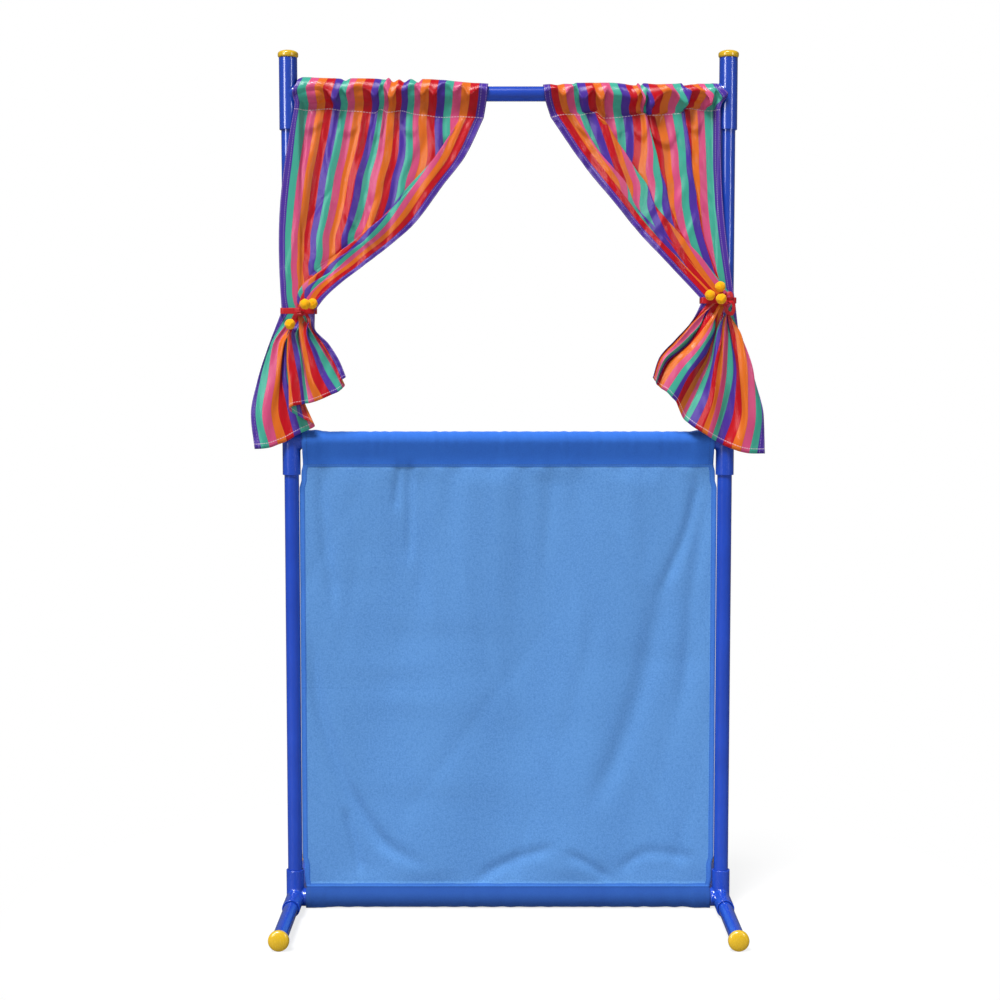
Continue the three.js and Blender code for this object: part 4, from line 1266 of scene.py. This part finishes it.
def panel_material(cloth, top, bottom):
    """Felted cloth: lighter where it is single, darker at the pockets, side hems and seam allowances, and
    painted shade that darkens the bottom pocket further; mottled by its nap, with painted shade along a
    crease line half way down, and rows of stitches beside the hems and seams."""
    material, g, sockets = new_material(
        "blue_cloth", Roughness=0.85, Sheen_Weight=0.05, Sheen_Roughness=0.5, Specular_IOR_Level=0.2)
    place = g.cloth_place()
    across, along = g.first_two(place)
    from_side = g.math("MINIMUM", across, g.math("SUBTRACT", 2 * PANEL_HALF, across))
    uneven = g.math("MULTIPLY_ADD", g.noise(place, 40.0, 2.0), 0.0024, -0.0012)
    hem_place = g.math("ADD", from_side, g.math("MULTIPLY", uneven, 0.4))
    in_hem = g.span(hem_place, cloth.hem - 0.0004, cloth.hem, 1.0, 0.0)
    in_top = g.span(along, top, top + 0.0005, 1.0, 0.0)
    in_low = g.span(along, bottom - 0.0005, bottom, 0.0, 1.0)
    row_place = g.math("ADD", along, uneven)
    below = g.span(g.math("SUBTRACT", row_place, top), 0.0038, 0.0042, 1.0, 0.0)
    above = g.span(g.math("SUBTRACT", bottom, row_place), 0.0044, 0.005, 1.0, 0.0)
    doubled = g.largest(g.math("MULTIPLY", g.largest(in_hem, below, above), 0.72), in_top, in_low)
    colour = g.blend(doubled, linear(cloth.colour), linear(cloth.pocket))
    # Painted shade: the bottom pocket's colour is darkened to about half, for the shade that falls on it under the
    # rail.
    colour = g.blend(in_low, colour, g.tinted(colour, (0.46, 0.45, 0.47)))
    nap = g.noise(place, 430.0, 3.0, 0.75)
    specks = g.noise(g.stretch(place, (1, 0.6, 1), (0, 0, 0.4)), 300.0, 2.0, 0.6)
    cloud = g.noise(g.stretch(place, (1, 0.5, 1)), 14.0, 6.0, 0.75)
    dark = g.tinted(colour, (0.62, 0.72, 0.84))
    pale = g.tinted(colour, (1.3, 1.16, 1.1))
    # Painted shade: a darker line along a crease half way down the body, fading out across it.
    crease_shade = g.span(g.off_middle(along, mix(top, bottom, 0.525)), 0.0, 0.0016, 1.0, 0.0)
    crease_shade = g.math("MULTIPLY", crease_shade, g.span(across, 0.06, 0.4, 1.0, 0.0))
    colour = g.blend(g.largest(g.span(cloud, 0.35, 0.7, 0.0, 0.6), crease_shade), colour, dark)
    fleck = g.span(doubled, 0.0, 1.0, 1.0, 0.3)
    colour = g.blend(g.math("MULTIPLY", fleck, g.span(nap, 0.38, 0.6, 0.0, 1.0)), colour, pale)
    colour = g.blend(g.math("MULTIPLY", fleck, g.span(specks, 0.5, 0.75, 0.0, 0.5)), colour, dark)
    weave = g.group(shared("weave"), Place=place, Threads=1300.0, Warp=1.0, Slubs=0.8)
    stitch, thread = 0.0034, 0.0005
    mask = g.largest(*stitch_rows(g, [
        (from_side, cloth.hem - 0.0012, along, stitch, thread),
        (along, top + 0.0003, across, stitch, thread),
        (along, bottom - 0.0003, across, stitch, thread),
    ]))
    g.feed(sockets["Base Color"], g.blend(g.math("MULTIPLY", mask, 0.4), colour, (0.02, 0.07, 0.26, 1)))
    fibres = g.math("MULTIPLY_ADD", nap, 3.0, g.math("MULTIPLY", weave.outputs["Height"], 0.4))
    g.feed(sockets["Normal"], g.bump(g.math("MULTIPLY_ADD", mask, 1.5, fibres), 0.5, 0.0002))
    return material


class THEATRE_OT_front_panel(bpy.types.Operator):
    """Stretches the cloth panel between the middle and bottom rails"""

    bl_idname = "theatre.front_panel"
    bl_label = "Front panel"

    def execute(self, context):
        cloth = context.scene.theatre_panel
        points, uvs, length, top, bottom = panel_points(cloth.hem)
        piece = add_mesh("front_panel_cloth", points, grid_faces(*points.shape[:2]), uvs)
        wall = piece.modifiers.new("thickness", "SOLIDIFY")
        wall.thickness, wall.offset = PANEL_THICKNESS, 0
        apply_modifiers(piece)
        material = panel_material(cloth, top, bottom)
        nodes = ["front_panel", "panel_top_pocket", "panel_bottom_pocket"]
        finish_piece(piece, material, nodes)
        return {"FINISHED"}


# Ties

# The circles that a band goes round, the post's and the gathered cloth's, as across, y and radius in mm, and
# how far off them its middle lies
BAND_ROUND = np.array([(0, 0, 10), (-6.5, -18.9, 3.5), (33, -18.9, 3.5), (33, -10, 3.5)])
BAND_OFF = 0.85
BAND_POINTS = 160

# Ribbons: the band's width and thickness, then the loops' width and the thickness of loops and ends
BAND_WIDTH, BAND_THICKNESS = 8.2 * MM, 0.8 * MM
LOOP_WIDTH, RIBBON_THICKNESS = 5.2 * MM, 0.6 * MM

# The knot: how far it lies across from the post's axis, in mm, and its y, which is the band's front, a gap and
# half its depth. A loop's line as shares of its size, from the knot and back to it, and each loop's width and
# height in mm, -1 where it hangs and 1 where it stands, and its twist
KNOT_ACROSS = {"left": 15, "right": 8}
KNOT_Y = -(23.7 + 0.4 + 3.5) * MM
LOOP_LINE = ((0, 0), (.75, .1), (1, .5), (.72, .95), (.25, .85), (0.05, .45), (0, 0))
LOOPS = (((12, 19), -1, 0.8), ((9, 10), 1, 0.6))


def belt_path(side):
    """The line of a ribbon pulled round the post and the gathered cloth: the outline of the circles that
    carry it, at an even spacing, as x and y in metres."""
    angle = around(1440)
    away = np.stack([np.cos(angle), np.sin(angle)], -1)
    reach = away @ BAND_ROUND[:, :2].T + BAND_ROUND[:, 2]
    best = BAND_ROUND[reach.argmax(1)]
    outline = best[:, :2] + (best[:, 2:] + BAND_OFF) * away
    outline = np.concatenate([outline, outline[:1]])
    far = along_path(outline)
    even = np.linspace(0, far[-1], BAND_POINTS, endpoint=False)
    across, y = np.interp(even, far, outline[:, 0]), np.interp(even, far, outline[:, 1])
    return np.stack([SIDES[side] * (POST_X - across * MM), y * MM], -1)


def ribbon_section():
    """The closed outline of a ribbon's section, with rounded edges, as shares of its width and thickness."""
    along = np.linspace(-0.5, 0.5, 14)
    upper = np.stack([along, 0.5 * np.sqrt(np.maximum(1 - (2 * along) ** 8, 0.05))], -1)
    return np.concatenate([upper, -upper])


def ribbon_along(points, width, thickness, across, closed=False):
    """A ribbon carried along points: its section is set in the plane square to the path, with its width
    along the given direction of each point. Width may change along it. Returns points and faces."""
    points = np.asarray(points, float)
    ahead = np.roll(points, -1, 0) - np.roll(points, 1, 0) if closed else np.gradient(points, axis=0)
    ahead /= np.linalg.norm(ahead, axis=1, keepdims=True)
    across = np.broadcast_to(np.asarray(across, float), points.shape)
    across = across - (across * ahead).sum(1, keepdims=True) * ahead
    across /= np.linalg.norm(across, axis=1, keepdims=True)
    through = np.cross(ahead, across)
    section = ribbon_section()
    wide = np.broadcast_to(np.asarray(width, float), len(points))[:, None, None]
    made = (
        points[:, None]
        + across[:, None] * section[None, :, :1] * wide
        + through[:, None] * section[None, :, 1:] * thickness
    )
    rows, columns = made.shape[:2]
    faces = grid_faces(rows, columns, wrap_rows=closed, wrap_columns=True).tolist()
    if not closed:
        faces += end_faces(rows, columns)
    return made.reshape(-1, 3), faces


def merged(parts):
    """Several arrays of points and faces as one."""
    points, faces, start = [], [], 0
    for part_points, part_faces in parts:
        points.append(np.asarray(part_points).reshape(-1, 3))
        faces += [[start + int(i) for i in face] for face in part_faces]
        start += len(points[-1])
    return np.concatenate(points), faces


def lump(centre, sizes, folds, seed):
    """An ellipsoid whose radius is varied by folds that run round its middle axis."""
    polar = np.linspace(0, np.pi, 40)[:, None]
    turn = around(64)[None, :]
    fold = ripple(polar / np.pi, 5, seed, 3) + ripple(np.cos(turn) * 0.5, 4, seed + 1, 3)
    fold = 1 + folds * fold * np.sin(polar)
    points = stacked(np.sin(polar) * np.cos(turn) * fold, np.sin(polar) * np.sin(turn) * fold, np.cos(polar))
    return rings(points * np.asarray(sizes) + np.asarray(centre))


def pompom_arrays(centre, radius, seed):
    """A felted pompom: a ball whose radius falls in soft furrows between its lobes and carries a short nap."""
    draw = np.random.default_rng(seed)
    polar = np.linspace(0, np.pi, 49)[:, None]
    turn = around(80)[None, :]
    flat = np.sin(polar)
    out = stacked(flat * np.cos(turn), flat * np.sin(turn), np.cos(polar))
    size = np.ones(out.shape[:2])
    for amount, waves, parts in ((0.16, 4.5, 3), (0.035, 26, 6)):
        for _ in range(parts):
            way = draw.normal(0, 1, 3)
            way /= np.linalg.norm(way)
            size = size - amount / parts * (1 - np.abs(np.sin(waves * (out @ way) + draw.uniform(0, 6))))
    return rings(out * (size * radius)[..., None] + np.asarray(centre))


def ribbon_material(colour):
    """Satin ribbon: a fine cross weave and a soft sheen."""
    material, g, sockets = new_material("red_ribbon", Sheen_Weight=0.05, Specular_IOR_Level=0.3)
    place = g.object_place()
    tone = g.noise(place, 300.0, 3.0)
    colour = linear(colour)
    deep = (*(0.6 * c for c in colour[:3]), 1)
    g.feed(sockets["Base Color"], g.blend(g.span(tone, 0.3, 0.7, 0.0, 0.4), colour, deep))
    g.feed(sockets["Roughness"], g.span(tone, 0.2, 0.8, 0.34, 0.5))
    fine = g.noise(g.stretch(place, (1, 1, 6)), 900.0, 2.0)
    g.feed(sockets["Normal"], g.bump(fine, 0.4, 0.0002))
    return material


def yarn_material(colour):
    """Fuzzy wool yarn: two tones and a soft nap."""
    material, g, sockets = new_material(
        "yellow_yarn", Sheen_Weight=0.12, Sheen_Roughness=0.5, Roughness=0.95, Specular_IOR_Level=0.1)
    tone = g.noise(g.object_place(), 500.0, 4.0, 0.6)
    colour = linear(colour)
    deep = (colour[0] * 0.9, colour[1] * 0.7, colour[2] * 0.5, 1)
    g.feed(sockets["Base Color"], g.blend(g.span(tone, 0.3, 0.65, 0.0, 0.8), colour, deep))
    g.feed(sockets["Normal"], g.bump(tone, 0.6, 0.0005))
    return material


class THEATRE_OT_ties(bpy.types.Operator):
    """Ties the curtains back with ribbon and hangs the pompoms on its ends"""

    bl_idname = "theatre.ties"
    bl_label = "Ties"

    def execute(self, context):
        finish = context.scene.theatre_tie
        red, yellow = ribbon_material(finish.ribbon), yarn_material(finish.yarn)
        for side, sign in SIDES.items():
            waist = WAIST_Z[side]
            path = belt_path(side)
            rise = 0.5 * MM * ripple(np.linspace(0, 1, len(path), endpoint=False), 3, 51)
            points = np.column_stack([path, waist + rise])
            ribbon = ribbon_along(points, BAND_WIDTH, BAND_THICKNESS, (0, 0, 1), closed=True)
            band = add_shell(f"{side}_tie_band_detail", *ribbon)
            set_smooth(band, angle=50)
            finish_piece(band, red, [f"{side}_tie_band"])
            self.bow(side, sign, waist, red)
            for number in (1, 2, 3):
                node = f"{side}_pompom_{number}"
                radius = float(half_size(node)[2])
                yarn = add_shell(f"{node}_yarn", *pompom_arrays(middle(node), radius, 60 + number))
                finish_piece(yarn, yellow, [node])
        return {"FINISHED"}

    def bow(self, side, sign, waist, material):
        """The crumpled knot, the ribbon ends that run to the pompoms and, on the right, its two loops."""
        centre = np.array([sign * (POST_X - KNOT_ACROSS[side] * MM), KNOT_Y, waist])
        parts = [
            lump(centre, (6.5 * MM, 3.5 * MM, 4.6 * MM), 0.2, 71),
            lump(centre + np.array([2.8, -0.6, -3.0]) * MM, (5.0 * MM, 3.0 * MM, 4.8 * MM), 0.25, 75),
        ]
        for number in (1, 2, 3):
            target = middle(f"{side}_pompom_{number}")
            away = (target - centre) / np.linalg.norm(target - centre)
            end = target - away * 6.2 * MM
            bend = (centre + end) / 2 + np.array([0, -1.0 * MM, 0.5 * MM])
            broad = np.cross(away, (0, 1, 0)) + np.array([0, 0.5, 0])
            parts.append(ribbon_along(
                curve_through([centre, bend, end], 16), np.linspace(8, 5, 16) * MM, RIBBON_THICKNESS, broad))
        if side == "right":
            for (wide, high), up, twist in LOOPS:
                line = [np.array([sign * (3 + o * wide), 0, up * r * high]) * MM for o, r in LOOP_LINE]
                points = curve_through([centre + spot for spot in line], 60)
                out = points - points.mean(0)
                out = out / np.linalg.norm(out, axis=1, keepdims=True)
                turn = twist * np.sin(np.linspace(0, 3 * np.pi, 60))[:, None]
                broad = out + (0.45 + 0.3 * turn) * np.array([0, 1, 0])
                parts.append(ribbon_along(points, LOOP_WIDTH, RIBBON_THICKNESS, broad))
        bow = add_shell(f"{side}_tie_bow_detail", *merged(parts))
        set_smooth(bow, angle=50)
        finish_piece(bow, material, [f"{side}_tie_bow"])


# Stage

CAMERA_PLACE = (-0.0112, -2.4, 0.753)
CAMERA_PITCH = -0.076
CAMERA_LENS = 63.07
LAMP_TARGET = Vector((0, 0, 0.65))

# The world's light, and how pale the floor is to the camera, in gloss, and in the light that it throws back
WORLD_LIGHT = 0.14
FLOOR_SEEN, FLOOR_IN_GLOSS, FLOOR_THROWN_BACK = 0.9, 0.06, 0.45

# The key light: the way it stands off the target, its strength and the angle that it fills
KEY_WAY, KEY_STRENGTH, KEY_ANGLE = (-0.4, -0.7, 1.4), 4.3, 0.35

# The lamps: place, size, power, and the kind of light that they give
LAMPS = {
    "front_fill": ((0.4, -3.0, 1.6), (2.4, 1.6), 10, "diffuse"),
    "rear_softbox": ((0.6, 2.0, 2.6), (2.0, 1.0), 50, "diffuse"),
    "left_strip": ((-2.0, -1.95, 1.6), (0.7, 1.8), 46, "glossy"),
    "right_strip": ((2.0, -1.95, 1.6), (0.25, 1.8), 19, "glossy"),
}


class THEATRE_OT_stage(bpy.types.Operator):
    """Sets up the pale floor, the soft lamps, the white world and the camera"""

    bl_idname = "theatre.stage"
    bl_label = "Stage"

    def execute(self, context):
        scene = context.scene
        scene.view_settings.view_transform = "Standard"
        self.floor()
        share = scene.theatre_stage.lamp
        self.sun("key", KEY_WAY, KEY_STRENGTH * share, KEY_ANGLE)
        for name, (place, size, power, gives) in LAMPS.items():
            self.lamp(name, place, size, power * share, gives)
        self.world()
        camera = bpy.data.cameras.new("camera")
        camera.lens, camera.sensor_width = CAMERA_LENS, 36
        holder = bpy.data.objects.new("camera", camera)
        holder.location = CAMERA_PLACE
        holder.rotation_euler = (math.pi / 2 + CAMERA_PITCH, 0, 0)
        scene.collection.objects.link(holder)
        scene.camera = holder
        return {"FINISHED"}

    def placed(self, name, light, place):
        """A light that faces the stand from its place."""
        holder = bpy.data.objects.new(name, light)
        holder.location = place
        holder.rotation_euler = (LAMP_TARGET - Vector(place)).to_track_quat("-Z", "Y").to_euler()
        bpy.context.scene.collection.objects.link(holder)
        return holder

    def lamp(self, name, place, size, power, gives):
        """A rectangular soft lamp that gives diffuse light or shows in gloss."""
        light = bpy.data.lights.new(name, "AREA")
        light.shape = "RECTANGLE"
        light.size, light.size_y, light.energy = *size, power
        holder = self.placed(name, light, place)
        holder.visible_diffuse, holder.visible_glossy = gives == "diffuse", gives == "glossy"

    def sun(self, name, way, strength, softness):
        """An even key light from a direction, as soft as the angle it fills."""
        light = bpy.data.lights.new(name, "SUN")
        light.energy, light.angle = strength, softness
        self.placed(name, light, Vector(way) * 3 + LAMP_TARGET)

    def world(self):
        """White to the camera, also through what is clear, and a plain soft light otherwise."""
        world = bpy.data.worlds.new("studio")
        world.use_nodes = True
        g = Graph(world.node_tree)
        background = world.node_tree.nodes["Background"]
        paths = g.node("ShaderNodeLightPath")
        seen = g.math("MAXIMUM", paths.outputs["Is Camera Ray"], paths.outputs["Is Transmission Ray"])
        background.inputs["Color"].default_value = (1, 1, 1, 1)
        g.feed(background.inputs["Strength"], g.span(seen, 0.0, 1.0, WORLD_LIGHT, 1.0))
        bpy.context.scene.world = world

    def floor(self):
        """A round floor, pale under the stand and white to the camera away from it. It throws back the light
        of a grey floor, and gloss sees it dark, so that the deep blue plastic isn't veiled."""
        radius, turn = np.linspace(0, 4, 24)[:, None], around(64)[None, :]
        points = stacked(radius * np.cos(turn), radius * np.sin(turn), -0.2 * MM)
        floor = add_shell("floor", *rings(points))
        if floor.data.polygons[0].normal.z < 0:
            floor.data.flip_normals()
        material, g, sockets = new_material("pale_floor", Roughness=0.7)
        length = g.node("ShaderNodeVectorMath", operation="LENGTH")
        g.feed(length.inputs[0], g.object_place())
        paths = g.node("ShaderNodeLightPath")
        pale = g.span(paths.outputs["Is Camera Ray"], 0.0, 1.0, FLOOR_IN_GLOSS, FLOOR_SEEN)
        pale = g.span(paths.outputs["Is Diffuse Ray"], 0.0, 1.0, pale, FLOOR_THROWN_BACK)
        g.feed(sockets["Base Color"], pale)
        far = g.span(length.outputs["Value"], 0.15, 0.7, 0.7, 1.0)
        seen = g.math("MULTIPLY", paths.outputs["Is Camera Ray"], far)
        white = g.node("ShaderNodeEmission")
        white.inputs[0].default_value = (1, 1, 1, 1)
        both = g.node("ShaderNodeMixShader")
        nodes = material.node_tree.nodes
        for socket, value in zip(both.inputs, (seen, nodes["Principled BSDF"].outputs[0], white.outputs[0])):
            g.feed(socket, value)
        g.feed(nodes["Material Output"].inputs["Surface"], both.outputs[0])
        floor.data.materials.append(material)
        floor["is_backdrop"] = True


OPERATORS = (
    THEATRE_OT_tubes, THEATRE_OT_fittings, THEATRE_OT_caps, THEATRE_OT_ties, THEATRE_OT_curtains,
    THEATRE_OT_front_panel, THEATRE_OT_stage,
)
GROUP_PROPERTIES = {
    "theatre_plastic": PlasticFinish, "theatre_curtain": CurtainCloth, "theatre_panel": PanelCloth,
    "theatre_tie": TieFinish, "theatre_stage": StageSettings,
}


class THEATRE_PT_pieces(bpy.types.Panel):
    """Lists the stand's pieces and their sizes and colours"""

    bl_idname = "THEATRE_PT_pieces"
    bl_label = "Puppet theatre stand"
    bl_space_type = "VIEW_3D"
    bl_region_type = "UI"
    bl_category = "Theatre"

    def draw(self, context):
        for name, group in GROUP_PROPERTIES.items():
            column = self.layout.column()
            for field in group.__annotations__:
                column.prop(getattr(context.scene, name), field)
        for operator in OPERATORS:
            self.layout.operator(operator.bl_idname)


CLASSES = (*GROUP_PROPERTIES.values(), *OPERATORS, THEATRE_PT_pieces)


def register():
    for cls in CLASSES:
        bpy.utils.register_class(cls)
    for name, group in GROUP_PROPERTIES.items():
        setattr(bpy.types.Scene, name, PointerProperty(type=group))


def unregister():
    for name in GROUP_PROPERTIES:
        delattr(bpy.types.Scene, name)
    for cls in reversed(CLASSES):
        bpy.utils.unregister_class(cls)


def main():
    """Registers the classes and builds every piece."""
    register()
    for operator in OPERATORS:
        family, name = operator.bl_idname.split(".")
        getattr(getattr(bpy.ops, family), name)()
    boxes = {"cad": CAD_BOX, "visual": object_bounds()}
    {name: [list(corner) for corner in corners] for name, corners in boxes.items()}


if __name__ == "__main__":
    main()
